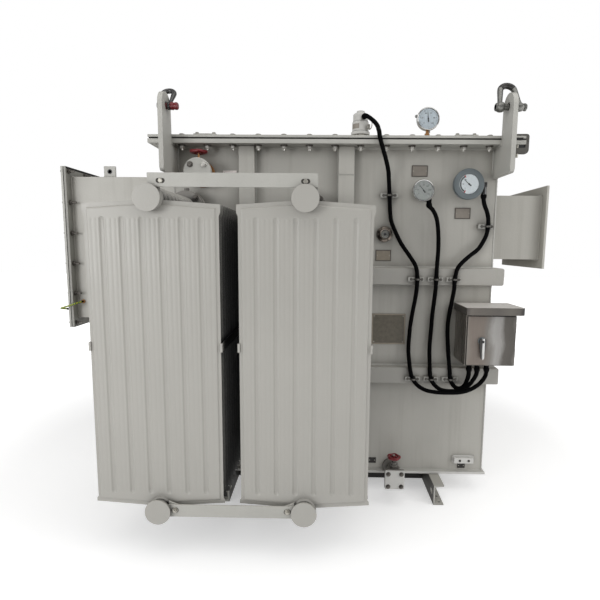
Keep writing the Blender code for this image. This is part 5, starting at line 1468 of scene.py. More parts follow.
def makeReliefDevice():
    x, y = relief["place"]
    foot = relief["foot"]
    body = bmesh.new()
    # foot flange, spring housing, body with its collar
    addTurned(body, (x, y, foot), toTop, [
        (0.0445, 0), (0.0460, 0.0012), (0.0460, 0.0110), (0.0450, 0.0122), (0.0375, 0.0128),
        (0.0370, 0.0160), (0.0372, 0.0400), (0.0385, 0.0440), (0.0455, 0.0455), (0.0460, 0.0468),
        (0.0460, 0.0580), (0.0452, 0.0592), (0.0408, 0.0600), (0.0402, 0.0680), (0.0402, 0.0960),
        (0.0405, 0.1010), (0.0400, 0.1060), (0.0372, 0.1078),
    ], 52)
    addTurned(body, (x, y, foot + 0.1072), toTop, [
        (0.0355, 0), (0.0368, 0.0012), (0.0370, 0.0060), (0.0370, 0.0300), (0.0358, 0.0350),
        (0.0315, 0.0392), (0.0205, 0.0405),
    ], 12, 0.13)
    addTurned(body, (x, y, foot + 0.1470), toTop,
              [(0.0198, 0), (0.0200, 0.0010), (0.0200, 0.0085), (0.0190, 0.0118), (0.0150, 0.0128)], 28)
    finishPiece("pressure_relief_body", body, "castLight",
                replaces="pressure_relief_device")
    gaps = bmesh.new()
    for level, radius in ((0.0412, 0.0392), (0.0606, 0.0410), (0.1070, 0.0379), (0.1466, 0.0215)):
        addTurned(gaps, (x, y, foot + level), toTop,
                  [(radius - 0.004, 0), (radius, 0.0002), (radius, 0.0016), (radius - 0.004, 0.0018)], 48)
    finishPiece("pressure_relief_gaps", gaps, "markBlack")
    bolts = bmesh.new()
    for turn in turnsOf(8, 0.35):
        at = (x + 0.0415 * math.cos(turn), y + 0.0415 * math.sin(turn))
        addBolt(bolts, (*at, foot + 0.0122), toTop, 0.0050, 0.0055)
        addRod(bolts, (*at, foot + 0.0170), (*at, foot + 0.0450), 0.0026, 10)
        addBolt(bolts, (*at, foot + 0.0450), toFoot, 0.0048, 0.0045, washer=False)
    # the trip switch and its wire bracket beside the body
    addBox(bolts, (x + 0.030, y - 0.046, foot + 0.066), (x + 0.043, y - 0.032, foot + 0.088), 0.0015)
    addTube(bolts, curveThrough([(x + 0.030, y - 0.036, foot + 0.122), (x + 0.046, y - 0.040, foot + 0.118),
                                 (x + 0.052, y - 0.040, foot + 0.100), (x + 0.050, y - 0.040, foot + 0.074),
                                 (x + 0.040, y - 0.036, foot + 0.064)], 0.004), 0.0022, 8)
    finishPiece("pressure_relief_fittings", bolts, "zincBolt")
    # a bare sticker plate on the front-left of its body
    plate = bmesh.new()
    turns = [math.radians(a) for a in range(196, 258, 6)]
    section = ((0.0404, 0.072), (0.0411, 0.072), (0.0411, 0.094), (0.0404, 0.094))
    skin(plate, [[(x + r * math.cos(a), y + r * math.sin(a), foot + z) for r, z in section] for a in turns])
    finishPiece("pressure_relief_plate", plate, "platePale")


makeReliefDevice()


# Round gauges: one builder for the case, its glass, its ticks and its pointer
gauges = {
    "pressure_gauge": {"centre": (0.449, -0.369, 1.854), "radius": 0.0545, "depth": 0.038, "dial": 0.045,
                       "case": "chrome", "caseSlot": "chrome", "from": 225, "to": -45, "marks": 40,
                       "major": 8, "pointer": 96, "bezel": 0.0065, "digit": 0.0095, "numbers": 6,
                       "face": "dialFace"},
    "thermometer": {"centre": (0.400, -0.552, 1.494), "radius": 0.0505, "depth": 0.044, "dial": 0.0395,
                    "case": "chrome", "caseSlot": "chrome", "from": 215, "to": -35, "marks": 36, "major": 6,
                    "pointer": 128, "bezel": 0.0075, "digit": 0.0090, "numbers": 7, "face": "dialGrey"},
    "oil_level_gauge": {"centre": (0.606, -0.542, 1.525), "radius": 0.0695, "depth": 0.040, "dial": 0.0405,
                        "case": "gaugeGrey", "caseSlot": "gauge_grey", "from": 230, "to": 130, "marks": 10,
                        "major": 5, "pointer": 140, "bezel": 0.0255, "digit": 0.0080, "numbers": 3,
                        "face": "dialWhite"},
}


def faceTurn(centre):
    # local +Z comes out of the dial, local +X goes right and local +Y goes up
    return Matrix.Translation(centre) @ Matrix.Rotation(math.pi / 2, 4, "X")


def waysAt(turn):
    # the way out from a centre at an angle, and the way across it
    return Vector((math.cos(turn), math.sin(turn), 0)), Vector((-math.sin(turn), math.cos(turn), 0))


def addMark(shape, inner, outer, turn, width, low, high):
    way, across = waysAt(turn)
    across = across * width / 2
    loop = [way * inner - across, way * outer - across, way * outer + across, way * inner + across]
    skin(shape, [[(p.x, p.y, z) for p in loop] for z in (low, high)])


def addArcBand(shape, radius, width, start, end, height):
    count = 24
    turns = [start + (end - start) * k / count for k in range(count + 1)]
    section = ((radius, 0), (radius + width, 0), (radius + width, height), (radius, height))
    skin(shape, [[(r * math.cos(a), r * math.sin(a), z) for r, z in section] for a in turns])


def addNumber(shape, text, centre, size, height):
    curve = bpy.data.curves.new("number", "FONT")
    curve.body, curve.size, curve.align_x, curve.align_y = text, size, "CENTER", "CENTER"
    curve.extrude = 0.0002
    thing = bpy.data.objects.new("number", curve)
    bpy.context.scene.collection.objects.link(thing)
    part = bmesh.new()
    mesh = thing.evaluated_get(bpy.context.evaluated_depsgraph_get()).to_mesh()
    part.from_mesh(mesh)
    part.transform(Matrix.Translation((centre[0], centre[1], height)))
    spare = bpy.data.meshes.new("number")
    part.to_mesh(spare)
    part.free()
    shape.from_mesh(spare)
    bpy.data.objects.remove(thing)
    bpy.data.curves.remove(curve)
    bpy.data.meshes.remove(spare)


def makeGauge(name):
    own = gauges[name]
    radius, depth, dial, bezel = own["radius"], own["depth"], own["dial"], own["bezel"]
    at = frontSide @ faceTurn(own["centre"])
    well = -0.007
    case = bmesh.new()
    loops = [
        (radius - bezel, well), (radius - bezel, -0.0035), (radius - bezel * 0.72, -0.0006),
        (radius - bezel * 0.45, 0.0), (radius - 0.0022, -0.0014), (radius, -0.005), (radius, -0.012),
        (radius - 0.0018, -0.0135), (radius - 0.0028, -0.017), (radius - 0.0028, -depth + 0.006),
        (radius - 0.006, -depth + 0.001), (radius - 0.012, -depth),
    ]
    addTurned(case, (0, 0, 0), toTop, loops, 56)
    finishPiece(f"{name}_case", case, own["case"], side=at, replaces=name)
    plate = bmesh.new()
    addTurned(plate, (0, 0, well + 0.0002), toTop,
              [(radius - bezel - 0.0004, 0), (radius - bezel - 0.0004, 0.0008), (dial, 0.0010)], 56)
    finishPiece(f"{name}_dial", plate, own["face"], side=at)
    marks = bmesh.new()
    face = well + 0.0012
    start, end = math.radians(own["from"]), math.radians(own["to"])
    count = own["marks"]
    for k in range(count + 1):
        long = k % own["major"] == 0
        turn = start + (end - start) * k / count
        addMark(marks, dial * (0.80 if long else 0.87), dial * 0.95, turn, 0.0012 if long else 0.0006, face,
                face + 0.0004)
    for k in range(own["numbers"]):
        turn = start + (end - start) * k / (own["numbers"] - 1)
        addNumber(marks, str(k * 20), (dial * 0.64 * math.cos(turn), dial * 0.64 * math.sin(turn)),
                  own["digit"], face + 0.0002)
    finishPiece(f"{name}_marks", marks, "markBlack", side=at)
    hand = bmesh.new()
    turn = math.radians(own["pointer"])
    way, across = waysAt(turn)
    # (distance along the dial's radius, half width), from the tip round the tail and back
    outline = ((0.82, -0.0004), (0.82, 0.0004), (0, 0.0017), (-0.30, 0.0030), (-0.34, 0), (-0.30, -0.0030),
               (0, -0.0017))
    loop = [way * dial * along + across * out for along, out in outline]
    skin(hand, [[(p.x, p.y, z) for p in loop] for z in (face + 0.0016, face + 0.0024)])
    addTurned(hand, (0, 0, face), toTop, [(0.0036, 0), (0.0036, 0.0026), (0.0028, 0.0034)], 20)
    finishPiece(f"{name}_pointer", hand, "markBlack", side=at)
    glass = bmesh.new()
    addTurned(glass, (0, 0, -0.0036), toTop,
              [(radius - bezel, 0), (radius - bezel, 0.0014), (radius - bezel - 0.001, 0.0018)], 56)
    finishPiece(f"{name}_glass", glass, "glass", side=at)
    return at


for name in gauges:
    gauges[name]["at"] = makeGauge(name)


# Stems, necks and glands of the gauges and the relief device
fittings = {
    "ears": (40, 160, 280), "earCircle": 0.0548, "stem": (0.449, -0.350), "nut": 1.772, "neck": 1.786,
    "neckTop": 1.806,
    "flange": 0.012, "boltCircle": 0.0285, "neckRadius": 0.022, "gland": 0.0115,
    "levelBlock": ((0.6520, -0.5200, 1.5130), (0.6960, -0.4960, 1.5370)),
    "levelGland": ((0.684, -0.508, 1.515), (0.684, -0.508, 1.4803)),
    "thermometerGland": ((0.432, -0.522, 1.466), (0.432, -0.522, 1.4373)),
    "reliefGland": ((0.1300, -0.3440, 1.859), (0.1394, -0.3777, 1.859)),
    "levelLimits": (118, 242), "bandTurns": (122, 238), "bandLevel": -0.0058,
}


def makePressureFittings():
    at = gauges["pressure_gauge"]["at"]
    ears = bmesh.new()
    for turn in fittings["ears"]:
        a, out = math.radians(turn), fittings["earCircle"]
        u, v = out * math.cos(a), out * math.sin(a)
        addRod(ears, (u, v, -0.036), (u, v, -0.0325), 0.008, 18, 0.0006)
    finishPiece("pressure_gauge_ears", ears, "chrome", side=at)
    x, y = fittings["stem"]
    stem = bmesh.new()
    addTurned(stem, (x, y, coverTop + seatGap), toTop, [
        (0.0145, 0), (0.0145, 0.012), (0.0125, 0.0135), (0.0085, 0.014), (0.0085, 0.022), (0.0070, 0.023),
        (0.0070, 0.037),
    ], 6)
    addTurned(stem, (x, y, fittings["nut"]), toTop,
              [(0.0118, 0), (0.0125, 0.001), (0.0125, 0.015), (0.0118, 0.016)], 6)
    addRod(stem, (x, y, fittings["neck"]), (x, y, fittings["neckTop"]), 0.0075, 18)
    finishPiece("pressure_gauge_stem", stem, "brass")


def makeGaugeNecks():
    neck = bmesh.new()
    radius, flange, circle = fittings["neckRadius"], fittings["flange"], fittings["boltCircle"]
    for name in ("thermometer", "oil_level_gauge"):
        x, y, z = gauges[name]["centre"]
        rear = y + gauges[name]["depth"]
        reach = wallFront - rear
        addTurned(neck, (x, rear, z), toRear, [
            (radius, -0.001), (radius, reach - flange), (radius + 0.010, reach - flange),
            (radius + 0.012, reach - flange + 0.002), (radius + 0.012, reach - seatGap),
        ], 32)
        for a in turnsOf(6, 0.25):
            seat = (x + circle * math.cos(a), wallFront - flange, z + circle * math.sin(a))
            addBolt(neck, seat, toFront, 0.005, 0.004, washer=False)
    finishPiece("gauge_necks", neck, "castGrey")
    elbow = bmesh.new()
    low, high = fittings["levelBlock"]
    addBox(elbow, low, high, 0.004, 3)
    addRod(elbow, *fittings["levelGland"], fittings["gland"], 24, 0.002)
    for x in (low[0] + 0.012, high[0] - 0.006):
        for z in (low[2] + 0.004, high[2] - 0.004):
            addBolt(elbow, (x, low[1], z), toFront, 0.0028, 0.002, washer=False)
    finishPiece("level_gauge_elbow", elbow, "darkPaint")
    small = bmesh.new()
    addRod(small, *fittings["thermometerGland"], fittings["gland"], 24, 0.002)
    finishPiece("thermometer_gland", small, "rubber")
    stub = bmesh.new()
    addRod(stub, *fittings["reliefGland"], fittings["gland"], 24, 0.002)
    finishPiece("pressure_relief_gland", stub, "castGrey")
    # limit arcs on the level gauge: a black band that ends in two red marks
    at = gauges["oil_level_gauge"]["at"]
    band, ends = bmesh.new(), bmesh.new()
    level = fittings["bandLevel"]
    addArcBand(band, 0.0350, 0.0060, *(math.radians(turn) for turn in fittings["bandTurns"]), 0.0006)
    band.transform(Matrix.Translation((0, 0, level)))
    finishPiece("level_gauge_band", band, "markBlack", side=at)
    for turn in fittings["levelLimits"]:
        addMark(ends, 0.0320, 0.0425, math.radians(turn), 0.0046, level, level + 0.0008)
    finishPiece("level_gauge_limits", ends, "markRed", side=at)


makePressureFittings()
makeGaugeNecks()


sightGlass = {"place": (0.240, 1.300), "boltCircle": 0.0315, "bolts": 6}


def makeSightGlass():
    x, z = sightGlass["place"]
    at = frontSide @ faceTurn((x, wallFront - seatGap, z))
    flange = bmesh.new()
    addTurned(flange, (0, 0, 0), toTop, [
        (0.036, 0), (0.037, 0.001), (0.037, 0.018), (0.0355, 0.0205), (0.0300, 0.0225), (0.0270, 0.0240),
        (0.0262, 0.0300), (0.0255, 0.0340), (0.0238, 0.0358), (0.0205, 0.0350), (0.0190, 0.0290),
        (0.0185, 0.0180),
    ], 48)
    out = sightGlass["boltCircle"]
    for a in turnsOf(sightGlass["bolts"]):
        addBolt(flange, (out * math.cos(a), out * math.sin(a), 0.0205), toTop, 0.0042, 0.0035, washer=False)
    finishPiece("sight_glass_ring", flange, "darkChrome", side=at, replaces="oil_sight_glass")
    heart = bmesh.new()
    addTurned(heart, (0, 0, 0.0170), toTop,
              [(0.0188, 0), (0.0188, 0.0015), (0.0140, 0.0022), (0.0070, 0.0010)], 32)
    finishPiece("sight_glass_reflector", heart, "plateBrown", side=at)
    pane = bmesh.new()
    addTurned(pane, (0, 0, 0.0270), toTop,
              [(0.0192, 0), (0.0192, 0.0045), (0.0165, 0.0056), (0.0100, 0.0062)], 36)
    finishPiece("sight_glass_pane", pane, "glass", side=at)


makeSightGlass()
print("gauges made")


# Terminal box on the front wall, its lid, door and handle
box = {
    "left": 0.598, "right": 0.822, "foot": 0.705, "top": 0.941, "front": -0.6183, "rear": -0.4503,
    "wall": 0.003,
    "lidLeft": 0.009, "lidRight": 0.028, "lidFront": 0.030, "lidHeight": 0.034, "doorSide": 0.003,
    "doorGap": 0.005, "doorThick": 0.012,
    "entries": (0.640, 0.677, 0.721), "entryLine": -0.560, "hinge": (0.8215, -0.6226),
    "handle": (0.668, 0.823),
    "board": ((0.620, -0.4660, 0.760), (0.800, -0.4620, 0.890)), "posts": ((0.635, 0.785), (0.772, 0.878)),
    "blocks": 12, "blockStart": 0.640, "blockPitch": 0.0122, "blockHalf": 0.0055, "blockFront": -0.492,
    "blockFoot": 0.808, "blockTop": 0.848,
}


def makeTerminalBox():
    left, right, foot, top, wall = box["left"], box["right"], box["foot"], box["top"], box["wall"]
    shell = bmesh.new()
    addBox(shell, (left, box["front"], foot), (right, box["rear"], top), 0.004, 3)
    tool = bmesh.new()
    addBox(tool, (left + wall, box["front"] - 0.01, foot + wall),
           (right - wall, box["rear"] - wall, top - wall), 0.0)
    shell = carve(shell, tool)
    rimDepth = 0.009
    addBox(shell, (left + wall, box["front"] + 0.002, foot + wall),
           (left + wall + rimDepth, box["front"] + 0.004, top - wall), 0.0005)
    addBox(shell, (right - wall - rimDepth, box["front"] + 0.002, foot + wall),
           (right - wall, box["front"] + 0.004, top - wall), 0.0005)
    finishPiece("terminal_box_shell", shell, "stainless", replaces="terminal_box")
    seal = bmesh.new()
    addSleeve(seal, "Y", box["front"] - 0.0002, box["front"] + 0.0016,
              (left + 0.006, right - 0.006, foot + 0.008, top - 0.008),
               (left + 0.014, right - 0.014, foot + 0.016, top - 0.016))
    finishPiece("terminal_box_seal", seal, "rubber")
    glands = bmesh.new()
    for x in box["entries"]:
        y = box["entryLine"]
        addTurned(glands, (x, y, foot + 0.001), toFoot, [(0.0150, 0), (0.0150, 0.0065), (0.0135, 0.0075)],
                  6)
        addTurned(glands, (x, y, foot - 0.005), toFoot,
                  [(0.0105, 0), (0.0105, 0.006), (0.0115, 0.0065), (0.0115, 0.0165), (0.0108, 0.0205)], 22)
    finishPiece("terminal_box_glands", glands, "rubber")
    inner = bmesh.new()
    low, high = box["board"]
    addBox(inner, low, high, 0.0008)
    for x in box["posts"][0]:
        for z in box["posts"][1]:
            addRod(inner, (x, box["rear"] - wall, z), (x, low[1] + 0.002, z), 0.005, 12)
    finishPiece("terminal_box_back_board", inner, "platePale")
    blocks, screws = bmesh.new(), bmesh.new()
    half, near, foot, top = box["blockHalf"], box["blockFront"], box["blockFoot"], box["blockTop"]
    for k in range(box["blocks"]):
        x = box["blockStart"] + k * box["blockPitch"]
        addBox(blocks, (x - half, near, foot), (x + half, low[1], top), 0.0012)
        for z in (foot + 0.007, top - 0.007):
            addTurned(screws, (x, near + 0.0005, z), toFront,
                      [(0.0030, 0), (0.0030, 0.0015), (0.0024, 0.0020)], 12)
    finishPiece("terminal_blocks", blocks, "gaugeGrey")
    finishPiece("terminal_screws", screws, "brass")


def makeLid():
    left, right = box["left"] - box["lidLeft"], box["right"] + box["lidRight"]
    front, rear = box["front"] - box["lidFront"], box["rear"]
    foot, top = box["top"] + seatGap, box["top"] + box["lidHeight"]
    shape = bmesh.new()
    corner, swept = 0.004, 0.015
    outline = [(left, rear), *arcPoints((left + corner, front + corner), corner, math.pi, 1.5 * math.pi, 5),
               *arcPoints((right - swept, front + swept), swept, 1.5 * math.pi, math.tau, 9), (right, rear)]
    addPlate(shape, outline, foot, top, "Z", 0.0035, 3)
    tool = bmesh.new()
    inner = 0.0022
    hollow = [(x + (inner if x < (left + right) / 2 else -inner),
               y + (inner if y < (front + rear) / 2 else -inner)) for x, y in outline]
    addPlate(tool, hollow, foot - 0.01, foot + 0.008, "Z")
    shape = carve(shape, tool)
    finishPiece("terminal_box_lid_cover", shape, "lidSteel", replaces="terminal_box_lid")


def makeDoor():
    left, right = box["left"] + box["doorSide"], box["right"] - box["doorSide"]
    foot, top = box["foot"] + box["doorGap"], box["top"] - box["doorGap"]
    front, rear = box["front"] - seatGap - box["doorThick"], box["front"] - seatGap
    shape = bmesh.new()
    addBox(shape, (left + 0.0014, front, foot + 0.0012), (right - 0.0010, rear - 0.0022, top - 0.0012),
           0.0022, 3)
    addSleeve(shape, "Y", rear - 0.003, rear, (left, right, foot, top),
              (left + 0.0025, right - 0.0025, foot + 0.0025, top - 0.0025))
    hx, hy = box["hinge"]
    inset = (top - foot) * 0.16
    for low in (foot + inset, top - inset - 0.040):
        addRod(shape, (hx - 0.0012, hy, low), (hx - 0.0012, hy, low + 0.040), 0.0024, 18, 0.0008)
    finishPiece("terminal_box_door_leaf", shape, "doorSteel", "door",
                replaces="terminal_box_door")
    # painted shadow in the gap round the door: a dark sleeve round its edges
    shade = bmesh.new()
    line = 0.0030
    addSleeve(shade, "Y", front + 0.0012, rear - 0.0004,
              (left - 0.0002, right + 0.0002, foot - 0.0002, top + 0.0002),
               (left + line, right - line, foot + line, top - line), 0.0002)
    finishPiece("terminal_box_door_gap_shade", shade, "plateDark", "door")
    hook = bmesh.new()
    x, z = box["handle"]
    face = front - 0.0006
    addTurned(hook, (x, face, z), toFront,
              [(0.0165, 0), (0.0175, 0.0008), (0.0175, 0.0020), (0.0160, 0.0030), (0.0130, 0.0034)], 28)
    finishPiece("door_lock_rosette", hook, "gaugeGrey", "door")


def makeDoorHandle():
    x, z = box["handle"]
    face = box["front"] - 0.0006 - box["doorThick"]
    shape = bmesh.new()
    addTurned(shape, (x, face - 0.0038, z), toFront,
              [(0.0120, 0), (0.0125, 0.001), (0.0120, 0.0062), (0.0100, 0.0078)], 28)
    # the lever: widest at its spindle, tapering to a rounded foot that stands out a little
    stations = [(0.0125, 0.0125, 0.0090), (0.0060, 0.0150, 0.0088), (-0.0100, 0.0155, 0.0085),
                (-0.0300, 0.0140, 0.0088), (-0.0500, 0.0118, 0.0100), (-0.0660, 0.0098, 0.0118),
                (-0.0770, 0.0078, 0.0132), (-0.0815, 0.0046, 0.0140)]
    rings = []
    for rise, half, stand in stations:
        thick = 0.0078 if rise > -0.05 else 0.0068
        ring = []
        for turn in turnsOf(20):
            wide = math.copysign(abs(math.cos(turn)) ** 0.62, math.cos(turn)) * half
            deep = math.copysign(abs(math.sin(turn)) ** 0.75, math.sin(turn)) * thick / 2
            ring.append((x + wide, face - stand - 0.0005 - thick / 2 + deep, z + rise))
        rings.append(ring)
    skin(shape, rings)
    finishPiece("door_handle_lever", shape, "leverChrome", "handle", replaces="door_handle",
                sharp=50)
    lock = bmesh.new()
    addTurned(lock, (x, face - 0.0165, z - 0.001), toFront,
              [(0.0062, 0), (0.0062, 0.0016), (0.0050, 0.0024)], 20)
    addBox(lock, (x - 0.0011, face - 0.0196, z - 0.0050), (x + 0.0011, face - 0.0186, z + 0.0030), 0.0003)
    finishPiece("door_handle_keyhole", lock, "markBlack", "handle")


makeTerminalBox()
makeLid()
makeDoor()
makeDoorHandle()
print("terminal box made")


# Valves with their handwheels
upper = {"place": (-0.624, 1.571), "face": -0.555, "blank": 0.0625, "plate": 0.012, "stemLine": -0.520,
         "wheel": 1.655, "radius": 0.041}
drain = {"place": (0.302, 0.134), "face": -0.600, "blank": 0.0465, "plate": 0.012, "stemLine": -0.555,
         "wheel": 0.222, "radius": 0.034}


wheel = {
    "lobes": 5, "rim": 0.0070, "wave": 0.0016, "rise": 0.0004, "level": 0.008,
    # each spoke's sections: (share of the radius, half width, half height)
    "spoke": ((0.14, 0.0056, 0.0042), (0.45, 0.0040, 0.0030), (0.75, 0.0046, 0.0034),
              (0.86, 0.0068, 0.0042)),
}


def makeWheel(name, replaced, x, y, z, radius, body):
    shape = bmesh.new()
    level = z + wheel["level"]
    rim, lobes = [], wheel["lobes"]
    for turn in turnsOf(60):
        wave = math.cos(lobes * turn)
        out = radius - wheel["rim"] - wheel["wave"] + wheel["wave"] * wave
        rim.append((x + out * math.cos(turn), y + out * math.sin(turn), level + wheel["rise"] * wave))
    addTube(shape, rim, wheel["rim"], 12, closed=True)
    addTurned(shape, (x, y, z + seatGap), toTop,
              [(0.0085, 0), (0.0095, 0.001), (0.0095, 0.0135), (0.0080, 0.0152)], 22)
    for turn in turnsOf(lobes, 0.5):
        way, across = waysAt(turn)
        rings = []
        for share, wide, high in wheel["spoke"]:
            middle = Vector((x, y, level)) + way * radius * share
            rings.append([middle + across * wide * math.cos(a) + Vector((0, 0, high * math.sin(a)))
                          for a in turnsOf(10)])
        skin(shape, rings)
    finishPiece(name, shape, "redEnamel", body, replaces=replaced, sharp=45)
    nut = bmesh.new()
    addTurned(nut, (x, y, z + 0.0150), toTop, [(0.0062, 0), (0.0062, 0.0036), (0.0050, 0.0046)], 6)
    finishPiece(f"{name}_nut", nut, "castGrey", body)


def makeUpperValve():
    x, z = upper["place"]
    y, face, half = upper["stemLine"], upper["face"], upper["plate"]
    cast = bmesh.new()
    addTurned(cast, (x, wallFront - seatGap, z), toFront, [
        (0.0585, 0), (0.0600, 0.0012), (0.0600, 0.0108), (0.0585, 0.0120), (0.0300, 0.0130),
        (0.0205, 0.0170), (0.0205, 0.028), (0.0260, 0.034), (0.0285, 0.040),
    ], 44)
    addTurned(cast, (x, y + 0.030, z), toFront, [
        (0.0260, 0), (0.0300, 0.002), (0.0300, 0.012), (0.0255, 0.016), (0.0240, 0.038), (0.0300, 0.042),
        (0.0300, 0.052), (0.0270, 0.0535),
    ], 8, math.pi / 8)
    addTurned(cast, (x, y, z), toTop,
              [(0.0230, 0), (0.0215, 0.018), (0.0165, 0.030), (0.0150, 0.034), (0.0150, 0.044),
               (0.0120, 0.048)], 24)
    addTurned(cast, (x, y, z + 0.040), toTop, [(0.0160, 0), (0.0160, 0.012), (0.0140, 0.014)], 6)
    addTurned(cast, (x, y, z + 0.052), toTop, [(0.0105, 0), (0.0105, 0.010), (0.0085, 0.012)], 6)
    addRod(cast, (x, y, z + 0.050), (x, y, upper["wheel"] + 0.0002), 0.0048, 16)
    finishPiece("upper_valve_casting", cast, "brass", replaces="upper_valve")
    blank = bmesh.new()
    radius = upper["blank"]
    addTurned(blank, (x, face, z), toRear,
              [(radius - 0.002, 0), (radius, 0.0015), (radius, half - 0.001), (radius - 0.001, half)], 56)
    addTurned(blank, (x, face + half + 0.0022, z), toRear,
              [(radius - 0.001, 0), (radius, 0.001), (radius, 0.0085), (radius - 0.002, 0.0095)], 56)
    finishPiece("upper_valve_blank", blank, "steelwork")
    seal, bolts, litBolts = bmesh.new(), bmesh.new(), bmesh.new()
    addTurned(seal, (x, face + half, z), toRear, [(radius - 0.004, 0), (radius - 0.004, 0.0022)], 48)
    finishPiece("upper_valve_gasket", seal, "gasket")
    # painted light and shade: bolts left of the stem take the shaded copy of the bolt metal, those right of
    # it the lit copy
    for turn in turnsOf(4, 0.5):
        at = (x + 0.0440 * math.cos(turn), z + 0.0440 * math.sin(turn))
        addBolt(bolts if at[0] < x else litBolts, (at[0], face, at[1]), toFront, 0.0105, 0.007, stud=0.0)
        addBolt(bolts, (at[0], face + 0.0237, at[1]), toRear, 0.0080, 0.0065, stud=0.005)
    finishPiece("upper_valve_bolts", bolts, "shadedBolt")
    finishPiece("upper_valve_lit_bolts", litBolts, "litBolt")
    makeWheel("upper_valve_wheel", "upper_valve_handwheel", x, y, upper["wheel"], upper["radius"],
              "upper_wheel")


def makeDrainValve():
    x, z = drain["place"]
    y, face, half = drain["stemLine"], drain["face"], drain["blank"]
    cast = bmesh.new()
    addTurned(cast, (x, wallFront - seatGap, z), toFront, [
        (0.0400, 0), (0.0400, 0.010), (0.0385, 0.0115), (0.0215, 0.0125), (0.0205, 0.045), (0.0290, 0.052),
        (0.0330, 0.066), (0.0330, 0.086),
    ], 32)
    addTurned(cast, (x, y - 0.012, z), toFront,
              [(0.0330, 0), (0.0300, 0.010), (0.0200, 0.015), (0.0185, 0.020)], 32)
    addBox(cast, (x - half, face + drain["plate"] + 0.0022, z - half),
           (x + half, face + drain["plate"] + 0.0120, z + half), 0.003)
    addTurned(cast, (x, y, z), toTop,
              [(0.0260, 0), (0.0240, 0.026), (0.0240, 0.033), (0.0290, 0.036), (0.0290, 0.044),
               (0.0240, 0.046)], 24)
    addTurned(cast, (x, y, z + 0.046), toTop, [(0.0190, 0), (0.0190, 0.010), (0.0165, 0.013)], 6)
    addTurned(cast, (x, y, z + 0.058), toTop, [(0.0120, 0), (0.0120, 0.012), (0.0100, 0.014)], 6)
    addRod(cast, (x, y, z + 0.066), (x, y, drain["wheel"] + 0.0002), 0.0050, 16)
    # the drain valve's casting takes the shaded copy of the steelwork paint
    finishPiece("drain_valve_casting", cast, "shadedSteelwork", replaces="drain_valve")
    blank = bmesh.new()
    addBox(blank, (x - half, face, z - half), (x + half, face + drain["plate"], z + half), 0.003)
    # the blank takes the lit copy of the grey paint
    finishPiece("drain_valve_blank", blank, "litPaint")
    seal, bolts = bmesh.new(), bmesh.new()
    addBox(seal, (x - half + 0.002, face + drain["plate"], z - half + 0.002),
           (x + half - 0.002, face + drain["plate"] + 0.0022, z + half - 0.002))
    finishPiece("drain_valve_gasket", seal, "gasket")
    for across in (-0.031, 0.031):
        for rise in (-0.031, 0.031):
            addBolt(bolts, (x + across, face, z + rise), toFront, 0.0085, 0.0065, stud=0.003)
            addBolt(bolts, (x + across, face + 0.024, z + rise), toRear, 0.0085, 0.0065, stud=0.004)
    for turn in turnsOf(4, 0.5):
        addBolt(bolts, (x + 0.0245 * math.cos(turn), y + 0.0245 * math.sin(turn), z + 0.0435), toTop,
                0.0046, 0.004, washer=False)
    # the drain valve's bolts take the shaded copy of the bolt metal
    finishPiece("drain_valve_bolts", bolts, "shadedBolt")
    makeWheel("drain_valve_wheel", "drain_valve_handwheel", x, y, drain["wheel"], drain["radius"],
              "drain_wheel")


makeUpperValve()
makeDrainValve()
print("valves made")


